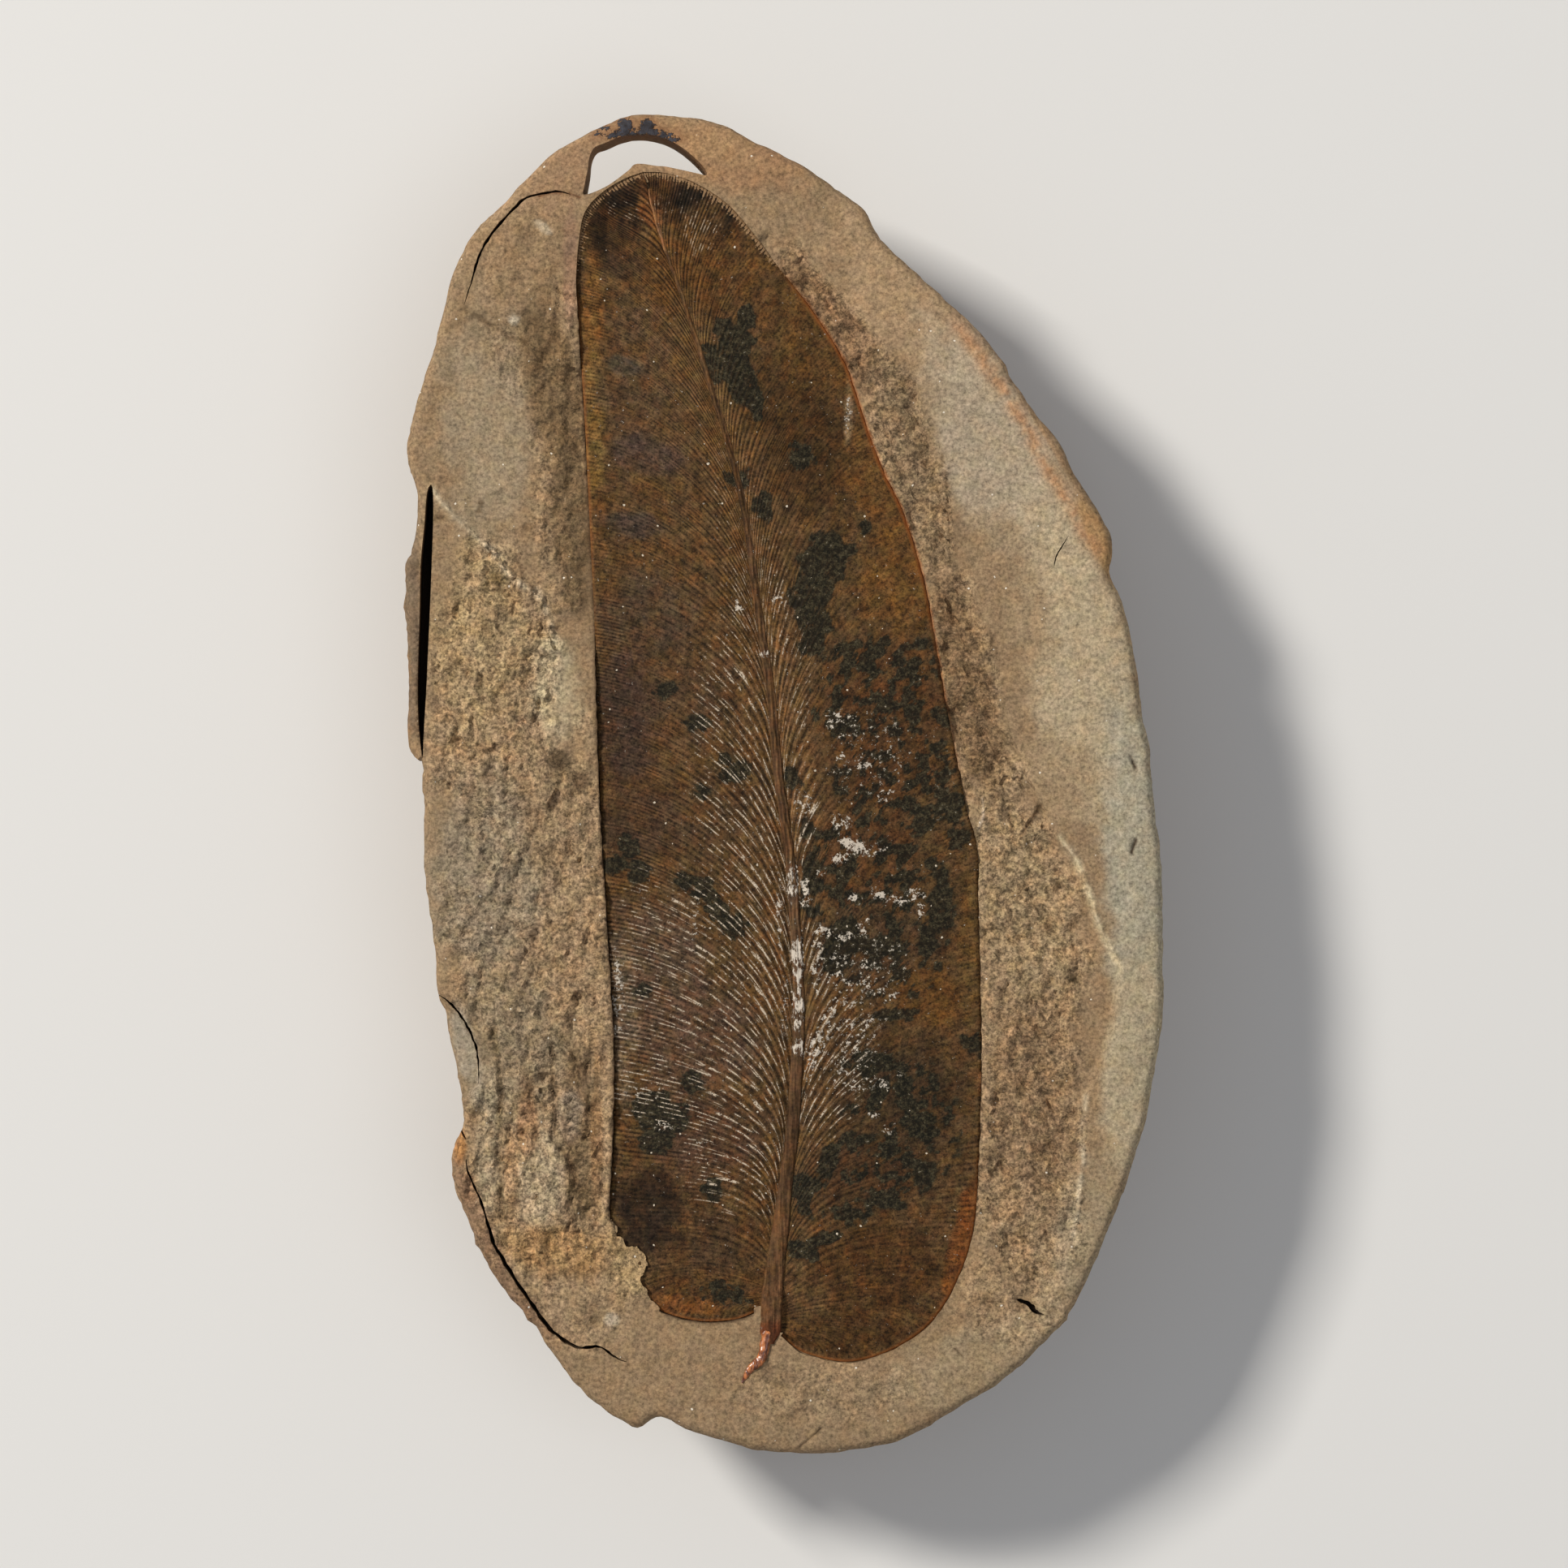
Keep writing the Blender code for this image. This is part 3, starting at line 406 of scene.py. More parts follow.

# Ledge rims, furrows and marks on the stone: points, half width in pixels, height in mm, colour and strength.
# Marks that stand up are paler broken stone with painted highlight where a ledge faces the light; marks sunk
# into grooves are dark with painted shade.
STONE_LINES = [
    ([(533, 602), (544, 618), (572, 647), (608, 679), (633, 714), (662, 730), (675, 755), (682, 790)],
     5.0, 0.30, (188, 170, 140), 0.62),
    ([(1305, 1032), (1324, 1055), (1338, 1090), (1351, 1136), (1374, 1182), (1383, 1195)],
     4.5, 0.20, (200, 182, 148), 0.8),
    ([(1337, 1350), (1332, 1390), (1334, 1430), (1327, 1480), (1322, 1520)],
     3.6, 0.15, (184, 168, 140), 0.65),
    # These two dark furrows stand where low ridges turn away from the light: painted shade.
    ([(608, 1270), (614, 1310), (617, 1350), (615, 1400), (616, 1440), (620, 1500)],
     4.5, -0.25, (96, 80, 56), 0.6),
    ([(679, 1285), (682, 1330), (684, 1370), (682, 1405), (700, 1425), (712, 1465)],
     4.0, -0.28, (84, 66, 46), 0.65),
    ([(723, 1310), (726, 1340), (721, 1375), (722, 1400)], 3.0, -0.15, (96, 76, 54), 0.5),
    ([(1281, 992), (1268, 1012), (1256, 1031)], 2.6, -0.10, (84, 62, 40), 0.85),
    ([(1243, 992), (1244, 1015), (1249, 1030)], 2.0, -0.06, (100, 78, 54), 0.7),
    ([(1392, 931), (1395, 938), (1398, 946)], 2.2, -0.14, (70, 56, 42), 0.9),
    ([(1399, 1033), (1396, 1041), (1393, 1050)], 2.2, -0.14, (70, 56, 42), 0.9),
    ([(1210, 984), (1211, 1005), (1205, 1020)], 1.6, 0.08, (190, 172, 150), 0.45),
    ([(982, 1783), (996, 1772), (1011, 1758)], 1.8, -0.14, (92, 74, 54), 0.8),
    ([(1176, 1660), (1184, 1668)], 1.6, -0.10, (96, 78, 56), 0.7),
    ([(1240, 930), (1252, 952), (1270, 975), (1283, 1000)], 3.0, -0.10, (100, 82, 58), 0.5),
    ([(1160, 560), (1166, 600), (1169, 650), (1170, 700)], 2.2, -0.08, (112, 90, 64), 0.5),
    ([(1180, 401), (1239, 484), (1292, 581), (1326, 639), (1350, 680)], 9.0, 0.04, (174, 130, 92), 0.7),
    ([(664, 242), (682, 237), (700, 238), (714, 243)], 1.6, -0.10, (112, 76, 50), 0.8),
    ([(573, 381), (595, 394), (626, 412), (657, 429), (674, 456)], 3.5, -0.15, (98, 80, 56), 0.55),
]

# Spots of blue-black mineral crust on the thin arch: middle and radii in pixels
CRUST = [
    ((770, 154), (9, 9)), ((797, 155), (9, 9)), ((779, 164), (13, 4)), ((791, 163), (10, 4)),
    ((816, 166), (9, 4)), ((828, 171), (7, 3)), ((745, 157), (5, 3)), ((754, 167), (7, 3)),
    ((764, 164), (8, 4)), ((805, 163), (7, 4)), ((738, 165), (4, 3)),
]

# Dark mineral spots on the leaflet, in the photograph's pixels: middle, radii and lean
DARK_SPOTS = [
    ((903, 425), (22, 34), -12), ((888, 445), (24, 26), 0), ((912, 468), (20, 30), -14),
    ((928, 488), (12, 22), -20), ((918, 392), (9, 16), 0),
    ((1012, 690), (26, 34), 24), ((998, 735), (26, 34), 20),
    ((1004, 775), (18, 26), 20), ((1065, 652), (10, 9), 0), ((1046, 674), (9, 7), 0),
    ((907, 950), (17, 14), -30), ((895, 935), (8, 8), 0), ((977, 956), (10, 12), 0),
    ((862, 890), (15, 10), 0), ((775, 1040), (12, 12), 0), ((757, 1066), (11, 11), 0),
    ((787, 1074), (13, 12), 0), ((846, 1083), (13, 10), -20), ((870, 1100), (14, 18), -24),
    ((884, 1120), (12, 16), -40), ((900, 1140), (16, 14), -30), ((850, 1333), (15, 12), 0),
    ((806, 1368), (25, 23), 0), ((832, 1376), (22, 18), 0), ((812, 1402), (18, 16), 0),
    ((800, 1412), (12, 10), 0), ((880, 1466), (13, 15), 0), ((895, 1592), (24, 12), 15),
    ((1157, 1120), (13, 44), 0), ((1146, 1062), (8, 8), 0), ((1142, 1160), (14, 18), 0),
    ((1080, 1165), (38, 15), 0), ((1030, 1172), (20, 26), 0), ((1181, 1030), (14, 14), 0),
    ((1166, 990), (18, 20), 0), ((1160, 880), (12, 16), 0), ((1128, 795), (20, 8), 0),
    ((1196, 1287), (16, 12), 0), ((1072, 1306), (26, 13), 0), ((1137, 1442), (17, 17), 0),
    ((992, 1466), (16, 20), 0), ((1088, 1478), (24, 10), 0), ((1044, 1492), (24, 9), 0),
    ((985, 1540), (18, 10), 25),
    ((1012, 1526), (20, 8), -24), ((1000, 1080), (12, 30), 0), ((992, 1020), (9, 14), 0),
    ((1134, 1384), (18, 18), 0), ((1112, 1336), (12, 18), 0), ((1022, 1428), (12, 22), 20),
    ((1128, 1362), (16, 10), 0), ((1104, 1248), (22, 8), 0), ((1052, 1402), (22, 8), 0),
    ((940, 625), (12, 16), 20), ((905, 590), (20, 10), 0), ((985, 560), (14, 12), 0),
    ((790, 1220), (12, 10), 0), ((865, 975), (9, 8), 0), ((820, 850), (12, 9), 0),
]

# Tints of the leaflet, laid on as the stone's are
LEAF_GROUND = (88, 65, 41)
LEAF_TINTS = [
    ((860, 320), (90, 70), 0, (84, 57, 28), 0.8),
    ((800, 250), (84, 40), 0, (60, 40, 24), 0.85),
    ((868, 262), (56, 34), 30, (52, 36, 22), 0.8),
    ((752, 282), (40, 52), 10, (56, 38, 22), 0.85),
    ((764, 244), (26, 16), -10, (32, 24, 17), 0.9),
    ((852, 246), (30, 18), 14, (32, 24, 17), 0.9),
    ((886, 266), (18, 24), -30, (36, 27, 18), 0.85),
    ((738, 284), (12, 28), 0, (38, 28, 18), 0.8),
    ((768, 330), (30, 20), 0, (60, 44, 30), 0.6),
    ((804, 262), (16, 32), -16, (114, 74, 42), 0.6),
    ((866, 276), (26, 34), 20, (104, 76, 46), 0.5),
    ((730, 400), (15, 100), 0, (116, 80, 42), 0.85),
    ((733, 520), (14, 120), 0, (118, 92, 52), 0.85),
    ((738, 650), (14, 60), 0, (98, 68, 38), 0.7),
    ((780, 480), (50, 110), 0, (88, 66, 46), 0.8),
    ((770, 450), (26, 14), 10, (66, 62, 56), 0.8),
    ((800, 560), (60, 24), 8, (76, 60, 54), 0.7),
    ((780, 645), (50, 18), 5, (66, 56, 52), 0.7),
    ((920, 590), (24, 18), 0, (62, 54, 50), 0.7),
    ((990, 540), (70, 110), -20, (66, 46, 25), 0.85),
    ((1000, 420), (50, 90), -30, (90, 64, 33), 0.7),
    ((920, 340), (50, 60), 0, (88, 62, 36), 0.6),
    ((1085, 600), (36, 90), -24, (100, 70, 37), 0.9),
    ((1105, 715), (52, 64), 0, (102, 72, 38), 0.95),
    ((800, 760), (70, 60), 0, (78, 61, 47), 0.8),
    ((775, 880), (44, 90), 0, (68, 51, 42), 0.85),
    ((850, 860), (70, 70), 20, (84, 62, 44), 0.6),
    ((800, 1010), (60, 60), 0, (70, 52, 40), 0.7),
    ((870, 1010), (50, 60), 0, (80, 60, 42), 0.5),
    ((810, 1190), (70, 100), 0, (89, 70, 56), 0.9),
    ((850, 1280), (90, 70), 0, (87, 66, 52), 0.9),
    ((770, 1250), (16, 120), 0, (110, 92, 74), 0.7),
    ((870, 1400), (80, 60), 0, (80, 58, 44), 0.85),
    ((800, 1490), (46, 60), 0, (46, 34, 24), 0.95),
    ((880, 1530), (50, 50), 0, (70, 51, 34), 0.8),
    ((850, 1590), (60, 28), 0, (82, 56, 30), 0.8),
    ((838, 1606), (60, 12), 8, (116, 72, 36), 0.7),
    ((1085, 900), (85, 115), 0, (84, 57, 34), 0.9),
    ((1060, 1060), (80, 60), 0, (86, 58, 35), 0.8),
    ((1080, 1160), (90, 60), 0, (78, 58, 40), 0.8),
    ((1145, 1230), (46, 40), 20, (94, 64, 32), 0.9),
    ((1192, 1170), (12, 110), 0, (98, 74, 42), 0.7),
    ((1105, 1350), (95, 90), 0, (68, 51, 34), 0.95),
    ((1190, 1400), (14, 90), 0, (84, 64, 42), 0.7),
    ((1060, 1450), (95, 46), 0, (72, 50, 32), 0.85),
    ((1080, 1560), (100, 60), 10, (76, 51, 27), 0.9),
    ((1040, 1640), (80, 30), 0, (72, 49, 26), 0.8),
    ((1182, 1530), (14, 90), 14, (112, 66, 32), 0.8),
    ((950, 1000), (22, 380), -3, (92, 66, 41), 0.5),
    ((915, 620), (38, 220), -10, (90, 65, 39), 0.75),
    ((970, 900), (46, 170), -6, (100, 74, 48), 0.6),
    ((930, 1540), (26, 90), 2, (88, 62, 38), 0.5),
    ((1208, 1332), (6, 14), 0, (150, 104, 70), 0.8),
    ((1045, 508), (6, 38), 2, (160, 134, 104), 0.55),
]

# Where the dark mineral mottles the leaflet, where its veins are hidden and where they show plainly,
# and a crease in its left half
MOTTLED = [
    ((1085, 860), (95, 85), 0, 1.0), ((1105, 960), (85, 80), 0, 1.0), ((1110, 1390), (90, 110), 0, 0.55),
    ((1060, 1090), (95, 90), 0, 0.85), ((1100, 1180), (80, 60), 0, 0.7), ((1040, 1470), (80, 50), 0, 0.5),
]
PLAIN = [
    ((1100, 680), (60, 130), -20, 0.9), ((990, 430), (70, 140), -30, 0.55), ((1090, 900), (95, 130), 0, 1.0),
    ((1090, 1090), (90, 110), 0, 1.0), ((1140, 1240), (60, 50), 0, 0.7), ((1120, 1380), (80, 120), 0, 0.75),
    ((780, 400), (50, 130), 0, 0.4), ((1150, 1130), (50, 100), 0, 0.9),
]
TIP_VEINS = ((815, 262), (105, 70), 0)
CREASE = [(850, 950), (856, 1012), (858, 1079), (855, 1136)]
STRIATED = [
    ((790, 1190), (60, 200), 0, 0.8), ((750, 820), (26, 100), 0, 0.7), ((850, 1585), (90, 50), 0, 0.55),
    ((1080, 1590), (120, 80), 0, 0.45), ((850, 1000), (90, 160), 0, 0.6), ((800, 1380), (70, 80), 0, 0.7),
    ((735, 420), (24, 150), 0, 0.6), ((1190, 1480), (30, 120), 0, 0.5), ((860, 700), (90, 130), 0, 0.5),
]

# White chalky mineral, and pale dashes along the vein crests, which are pale mineral with painted highlights
CHALK = [
    ((1030, 886), (20, 14), 0, 0.60), ((1050, 884), (10, 6), 0, 0.75), ((1065, 943), (12, 7), 0, 0.70),
    ((1040, 956), (10, 14), 20, 0.50), ((1090, 980), (12, 12), 0, 0.70), ((1036, 1012), (16, 16), 20, 0.65),
    ((1052, 1040), (24, 9), 15, 0.95), ((1078, 1046), (18, 10), -20, 0.85),
    ((1034, 1058), (16, 9), -15, 0.85), ((1009, 1078), (7, 8), 0, 0.6), ((1050, 1104), (8, 7), 0, 0.95),
    ((1080, 1100), (16, 9), 20, 0.85),
    ((1104, 1108), (16, 8), 0, 0.95), ((1128, 1100), (14, 9), 0, 0.85), ((1133, 1120), (7, 12), 0, 0.8),
    ((1016, 1146), (16, 8), 15, 0.95), ((1040, 1152), (14, 8), 0, 0.85), ((1062, 1140), (9, 13), 30, 0.85),
    ((1034, 1182), (14, 12), 0, 0.75), ((1064, 1184), (10, 7), 0, 0.80), ((1098, 1170), (16, 8), 0, 0.45),
    ((1034, 1205), (20, 14), 0, 0.70), ((1066, 1212), (12, 10), 0, 0.72), ((1040, 1232), (18, 10), 0, 0.66),
    ((1100, 1222), (12, 10), 0, 0.62), ((1076, 1256), (18, 12), 0, 0.60), ((1040, 1262), (16, 14), 0, 0.55),
    ((1084, 1334), (20, 10), 0, 0.66), ((1106, 1322), (8, 8), 0, 0.6), ((1096, 1390), (14, 8), 0, 0.72),
    ((1076, 1374), (10, 8), 0, 0.6), ((818, 1386), (12, 11), 0, 0.62), ((864, 1407), (8, 6), 0, 0.8),
    ((909, 746), (6, 10), -30, 1.0), ((942, 805), (7, 7), 0, 0.85), ((760, 1215), (9, 50), 0, 0.78),
    ((760, 1268), (9, 10), 0, 0.66), ((976, 1084), (9, 26), 0, 1.0), ((982, 1180), (10, 36), 0, 1.15),
    ((983, 1240), (9, 36), 0, 1.1), ((983, 1288), (8, 18), 0, 1.05), ((990, 990), (16, 26), 0, 0.50),
    ((1006, 1180), (9, 60), 0, 0.62), ((1010, 1280), (13, 60), 18, 0.68), ((962, 1120), (7, 60), 0, 0.5),
    ((966, 1240), (6, 70), 0, 0.5), ((990, 1100), (10, 26), 0, 0.6), ((1046, 1330), (30, 24), 0, 0.5),
    ((1065, 1195), (60, 50), 0, 0.42), ((1070, 930), (60, 60), 0, 0.38), ((1050, 1290), (40, 40), 0, 0.40),
    ((957, 740), (8, 20), 10, 0.5), ((856, 1130), (5, 40), 0, 0.55), ((1044, 508), (4, 26), 4, 0.95),
    ((1208, 1000), (4, 20), 0, 0.5), ((790, 1345), (30, 14), 0, 0.40), ((1152, 1010), (9, 6), 0, 0.5),
]
DASHES = [
    ((915, 980), (70, 230), -6, 0.95), ((905, 1260), (80, 260), 4, 1.1), ((930, 760), (50, 120), 0, 0.8),
    ((905, 620), (36, 120), -10, 0.45), ((1015, 1320), (60, 110), 20, 1.0), ((975, 860), (30, 130), 0, 0.6),
    ((885, 1180), (90, 160), 0, 1.0), ((992, 1010), (16, 60), 10, 1.4), ((958, 1015), (18, 110), -4, 1.45),
    ((800, 1180), (60, 130), 0, 0.78), ((946, 1100), (32, 220), 0, 1.5), ((1005, 1180), (14, 60), -10, 1.3),
    ((800, 1340), (60, 60), 0, 0.95), ((775, 1290), (26, 110), 0, 0.9), ((860, 285), (30, 36), 20, 0.7),
    ((770, 260), (30, 14), 20, 0.6), ((950, 1400), (30, 130), 4, 0.9), ((840, 250), (60, 20), 0, 0.4),
]

# The midrib: its colours, how high it stands at the tip, how far apart its strands are, and its edge's drop
LOWEST_STRAND = 0.04
STRAND_PITCH = 0.21
MIDRIB_SKIRT = 0.12
MIDRIB_GROUND = (86, 60, 36)
MIDRIB_TINTS = [
    ((806, 260), (30, 70), 0, (138, 98, 66), 0.85),
    ((850, 420), (40, 110), 0, (88, 63, 37), 0.8),
    ((905, 575), (40, 100), 0, (74, 50, 26), 0.8),
    ((975, 1180), (30, 160), 0, (90, 66, 44), 0.8),
    ((950, 1560), (30, 90), 0, (96, 67, 40), 0.9),
    ((948, 1645), (24, 22), 0, (98, 54, 30), 0.9),
]

# How clouds turn a colour, the leaflet's warmth, and the painted glints of crystals: spacing, size and share
# of cells
WARMER = (1.20, 1.0, 0.74)
COOLER = (0.90, 0.97, 1.14)
PINKER = (1.12, 0.94, 0.95)
GREENER = (0.93, 1.04, 0.86)
LEAF_WARMTH = (0.98, 0.96, 0.84)
GLINTS = (1.0, 0.10, 0.26)

def plan(px, py):
    """The place on the plate, in millimetres, of a pixel of the photograph."""
    return (px - PHOTO_CENTRE[0]) * PIXEL, (PHOTO_CENTRE[1] - py) * PIXEL


def tone(red, green, blue):
    """A colour as seen, 0 to 255, as the linear colour of a finish."""
    shares = np.array([red, green, blue]) / 255
    return np.where(shares > 0.04045, ((shares + 0.055) / 1.055) ** 2.4, shares / 12.92)


def ease(value, low, high):
    """0 below low, 1 above high, and a smooth step between them."""
    share = np.clip((value - low) / (high - low), 0, 1)
    return share * share * (3 - 2 * share)


def unit(arrows):
    """Arrows in plan, each at length 1."""
    return arrows / np.maximum(np.hypot(arrows[..., 0], arrows[..., 1]), 1e-9)[..., None]


def left_of(arrows):
    """Arrows in plan, each turned left by a right angle."""
    return np.stack([-arrows[..., 1], arrows[..., 0]], axis=-1)


def points_at(x, y, z=0.0):
    """Rows of points from their coordinates; z may be one number for all of them."""
    return np.stack(np.broadcast_arrays(x, y, z), axis=-1).reshape(-1, 3)


def smooth_line(points, places):
    """Points at places, counted in points, on the smooth curve through a list of points."""
    points = np.asarray(points, float)
    last = len(points) - 1
    i = np.clip(np.asarray(places).astype(int), 0, last - 1)
    f = (places - i)[:, None]
    a, b, c, d = (points[np.clip(i + k, 0, last)] for k in (-1, 0, 1, 2))
    bend = 2 * a - 5 * b + 4 * c - d
    return 0.5 * (2 * b + (c - a) * f + bend * f ** 2 + (3 * b - a - 3 * c + d) * f ** 3)


def closed_curve(points, count):
    """Evenly spaced points, anticlockwise, on the smooth closed curve through a clockwise list of points."""
    n = len(points)
    looped = [points[-1 - k % n] for k in range(-2, n + 3)]
    fine = smooth_line(looped, np.linspace(2, 2 + n, CURVE_STEPS))
    run = np.r_[0, np.cumsum(np.hypot(*np.diff(fine, axis=0).T))]
    wanted = np.linspace(0, run[-1], count, endpoint=False)
    return np.stack([np.interp(wanted, run, fine[:, k]) for k in range(2)], axis=1)


def fractal(points, size, octaves, offset=0.0):
    """Fractal noise, about -1 to 1, at points in millimetres.

    Size is that of its features in millimetres. Noises with different offsets don't follow each other.
    """
    shift = Vector((offset, 0.7 * offset, 1.3 * offset))
    scaled = np.asarray(points, float) / size
    return np.array([noise.fractal(Vector(p) + shift, 0.9, 2.0, octaves) for p in scaled])


def line_distance(x, y, line, closed=False):
    """How far points are from a line, and how far along it the nearest place is, 0 to 1."""
    line = np.asarray(line, float)
    ends = np.roll(line, -1, axis=0) if closed else line[1:]
    best = np.full(x.shape, np.inf)
    along = np.zeros(x.shape)
    for k, (a, b) in enumerate(zip(line, ends)):
        run = b - a
        share = np.clip(((x - a[0]) * run[0] + (y - a[1]) * run[1]) / max(run @ run, 1e-12), 0, 1)
        far = np.hypot(x - a[0] - share * run[0], y - a[1] - share * run[1])
        nearer = far < best
        best = np.where(nearer, far, best)
        along = np.where(nearer, (k + share) / len(ends), along)
    return best, along


def depth_inside(x, y, polygon):
    """How far points are inside a closed outline; negative outside."""
    polygon = np.asarray(polygon, float)
    inside = np.zeros(x.shape, bool)
    for a, b in zip(polygon, np.roll(polygon, -1, axis=0)):
        crosses = (a[1] > y) != (b[1] > y)
        rise = b[1] - a[1] if b[1] != a[1] else 1e-12
        inside ^= crosses & (x < (b[0] - a[0]) * (y - a[1]) / rise + a[0])
    far, _ = line_distance(x, y, polygon, closed=True)
    return np.where(inside, far, -far)


def blob(x, y, middle, radii, lean):
    """1 at the middle of an ellipse that leans clockwise by some degrees, 0 at its edge, less outside."""
    cx, cy = plan(*middle)
    turn = -math.radians(lean)
    dx, dy = x - cx, y - cy
    across = (dx * math.cos(turn) + dy * math.sin(turn)) / (radii[0] * PIXEL)
    along = (dy * math.cos(turn) - dx * math.sin(turn)) / (radii[1] * PIXEL)
    return 1 - np.hypot(across, along)


def laid(x, y, places):
    """The strongest of a list of soft-edged places at each point."""
    field = np.zeros(x.shape)
    for middle, radii, lean, strength in places:
        field = np.maximum(field, strength * ease(blob(x, y, middle, radii, lean), -0.25, 0.45))
    return field


def swell(x, y):
    """How far the split face stands above its reference height, highest in the middle."""
    (loss_across, half_width), (loss_along, half_length) = DOME_ACROSS, DOME_ALONG
    return SWELL * (1 - loss_across * (x / half_width) ** 2 - loss_along * (y / half_length) ** 2)


def face_height(x, y):
    """The height of the bare face, before the leaflet and the ledges are cut."""
    z = FACE_Z + swell(x, y)
    for (cx, cy), (sx, sy), height in LUMPS:
        z = z + height * np.exp(-((x - cx) / sx) ** 2 - ((y - cy) / sy) ** 2)
    return z


def roughness_at(x, y, wander):
    """How broken the face is at a place, 0 to 1, with edges that wander."""
    rough = np.zeros(x.shape)
    for middle, radii, lean, strength in ROUGH_PLACES:
        rough = np.maximum(rough, strength * ease(blob(x, y, middle, radii, lean) + 0.25 * wander, -0.1, 0.3))
    for flake in (RIND_LEFT, RIND_LOW):
        rough = rough * (1 - 0.8 * ease(depth_inside(x, y, flake), -0.1, 0.3))
    return rough


def midrib_at(height):
    """The midrib's middle, its upward direction and half its width at heights on the plate."""
    line = np.array(MIDRIB[::-1])
    reach = MIDRIB_TANGENT_REACH
    x, low, high = (np.interp(height + d, line[:, 1], line[:, 0]) for d in (0, -reach, reach))
    along = np.stack([high - low, np.full_like(x, 2 * reach)], axis=-1)
    half = np.interp(height, *np.array(MIDRIB_HALF_WIDTH[::-1]).T)
    return np.stack([(x + low + high) / 3, height], axis=-1), unit(along), half


def vein_guides(guides, count):
    """Guide rows at even steps along the margin and the midrib, each with the margin's direction."""
    rows = smooth_line(guides, np.linspace(0, len(guides) - 1, GUIDE_STEPS))
    on_midrib = np.abs(np.diff(rows[:, 0]))
    on_margin = np.hypot(*np.diff(rows[:, 1:], axis=0).T)
    along_margin = MARGIN_WEIGHT * on_margin / on_margin.sum()
    along_midrib = (1 - MARGIN_WEIGHT) * on_midrib / on_midrib.sum()
    run = np.r_[0, np.cumsum(along_margin + along_midrib)]
    wanted = np.linspace(0, 1, count)
    picked = np.stack([np.interp(wanted, run, column) for column in rows.T], axis=1)
    kernel = np.ones(GUIDE_SMOOTHING) / GUIDE_SMOOTHING
    padded = np.pad(np.gradient(rows[:, 1:], axis=0), ((GUIDE_SMOOTHING // 2,) * 2, (0, 0)), mode="edge")
    smooth = [np.convolve(column, kernel, "valid") for column in padded.T]
    return picked, unit(np.stack([np.interp(wanted, run, column) for column in smooth], axis=1))


def vein_map(guides, side, count, steps):
    """Points along evenly spaced veins of a side, from the midrib's edge, t = 0, to the margin, t = 1."""
    rows, margin = vein_guides(guides, count)
    height, end = rows[:, 0], rows[:, 1:]
    middle, upward, half = midrib_at(height)
    reach = np.hypot(*(end - middle).T)[:, None]
    outward = (end - middle) / reach
    sideways = left_of(upward) * -side
    inward = unit(left_of(margin) * side - MARGIN_LEAN * margin)
    lift = ease(height, guides[0][0], guides[0][0] + BASE_FAN_HEIGHT)
    up, out = (np.interp(lift, (0, 1), ends)[:, None] for ends in (LEAVE_UPWARD, LEAVE_OUTWARD))
    leaving = unit(upward * up + outward * out + sideways * LEAVE_SIDEWAYS)
    start = middle + sideways * half[:, None]
    near = start + NEAR_HANDLE * reach * leaving
    far = end + FAR_HANDLE * reach * inward
    t = np.asarray(steps)[None, :, None]
    start, near, far, end = (points[:, None] for points in (start, near, far, end))
    return (1 - t) ** 3 * start + 3 * (1 - t) ** 2 * t * near + 3 * (1 - t) * t * t * far + t ** 3 * end


def leaf_base_height(x, y, t):
    """The leaflet's surface without its veins: vaulted halves and a valley along the midrib."""
    vault = LEAF_VAULT * np.sin(math.pi * np.minimum(1, VAULT_SPAN * (1 - t)) / 2)
    valley = MIDRIB_VALLEY * np.exp(-(t / VALLEY_SPAN) ** 2) * (1 - 0.6 * ease(y, 10, 35))
    return FACE_Z + swell(x, y) - LEAF_SINK + vault - valley


def leaf_outline(count):
    """The leaflet's margin as a closed line, up its left side from the base and down its right side."""
    left = vein_map(LEFT_VEINS, -1, count, [1.0])[:, 0]
    right = vein_map(RIGHT_VEINS, 1, count, [1.0])[:, 0]
    return np.vstack([left, right[::-1]])


def add_object(name, data, finish=None):
    """Puts a mesh into the scene as a named object with its finish."""
    if finish:
        data.materials.append(finish)
    made = bpy.data.objects.new(name, data)
    bpy.context.scene.collection.objects.link(made)
    return made


def mesh_from(name, points, faces):
    """A mesh from points in millimetres and faces."""
    data = bpy.data.meshes.new(name)
    data.from_pydata((np.asarray(points) * MM).tolist(), [], [list(map(int, face)) for face in faces])
    return data


def grid_faces(rows, columns, closed=False):
    """Quads of a grid whose points are stored row by row, and whose rows may be closed rings."""
    first = np.arange(rows - 1)[:, None] * columns
    place = np.arange(columns if closed else columns - 1)
    corner = (first + place).ravel()
    beside = (first + (place + 1) % columns).ravel()
    return np.stack([corner, beside, beside + columns, corner + columns], axis=1)


def turn_outward(data):
    """Turns the faces of a closed mesh outward."""
    mesh = bmesh.new()
    mesh.from_mesh(data)
    bmesh.ops.recalc_face_normals(mesh, faces=mesh.faces)
    mesh.to_mesh(data)
    mesh.free()


def points_of(data):
    """A mesh's points in millimetres."""
    points = np.zeros(len(data.vertices) * 3)
    data.vertices.foreach_get("co", points)
    return points.reshape(-1, 3) / MM


def store(data, name, values):
    """Keeps a value or a colour for each point of a mesh, for its finish to read."""
    values = np.asarray(values, float)
    if values.ndim == 1:
        data.attributes.new(name, "FLOAT", "POINT").data.foreach_set("value", values)
        return
    colours = np.ones((len(values), 4))
    colours[:, :3] = values
    data.attributes.new(name, "FLOAT_COLOR", "POINT").data.foreach_set("color", colours.ravel())


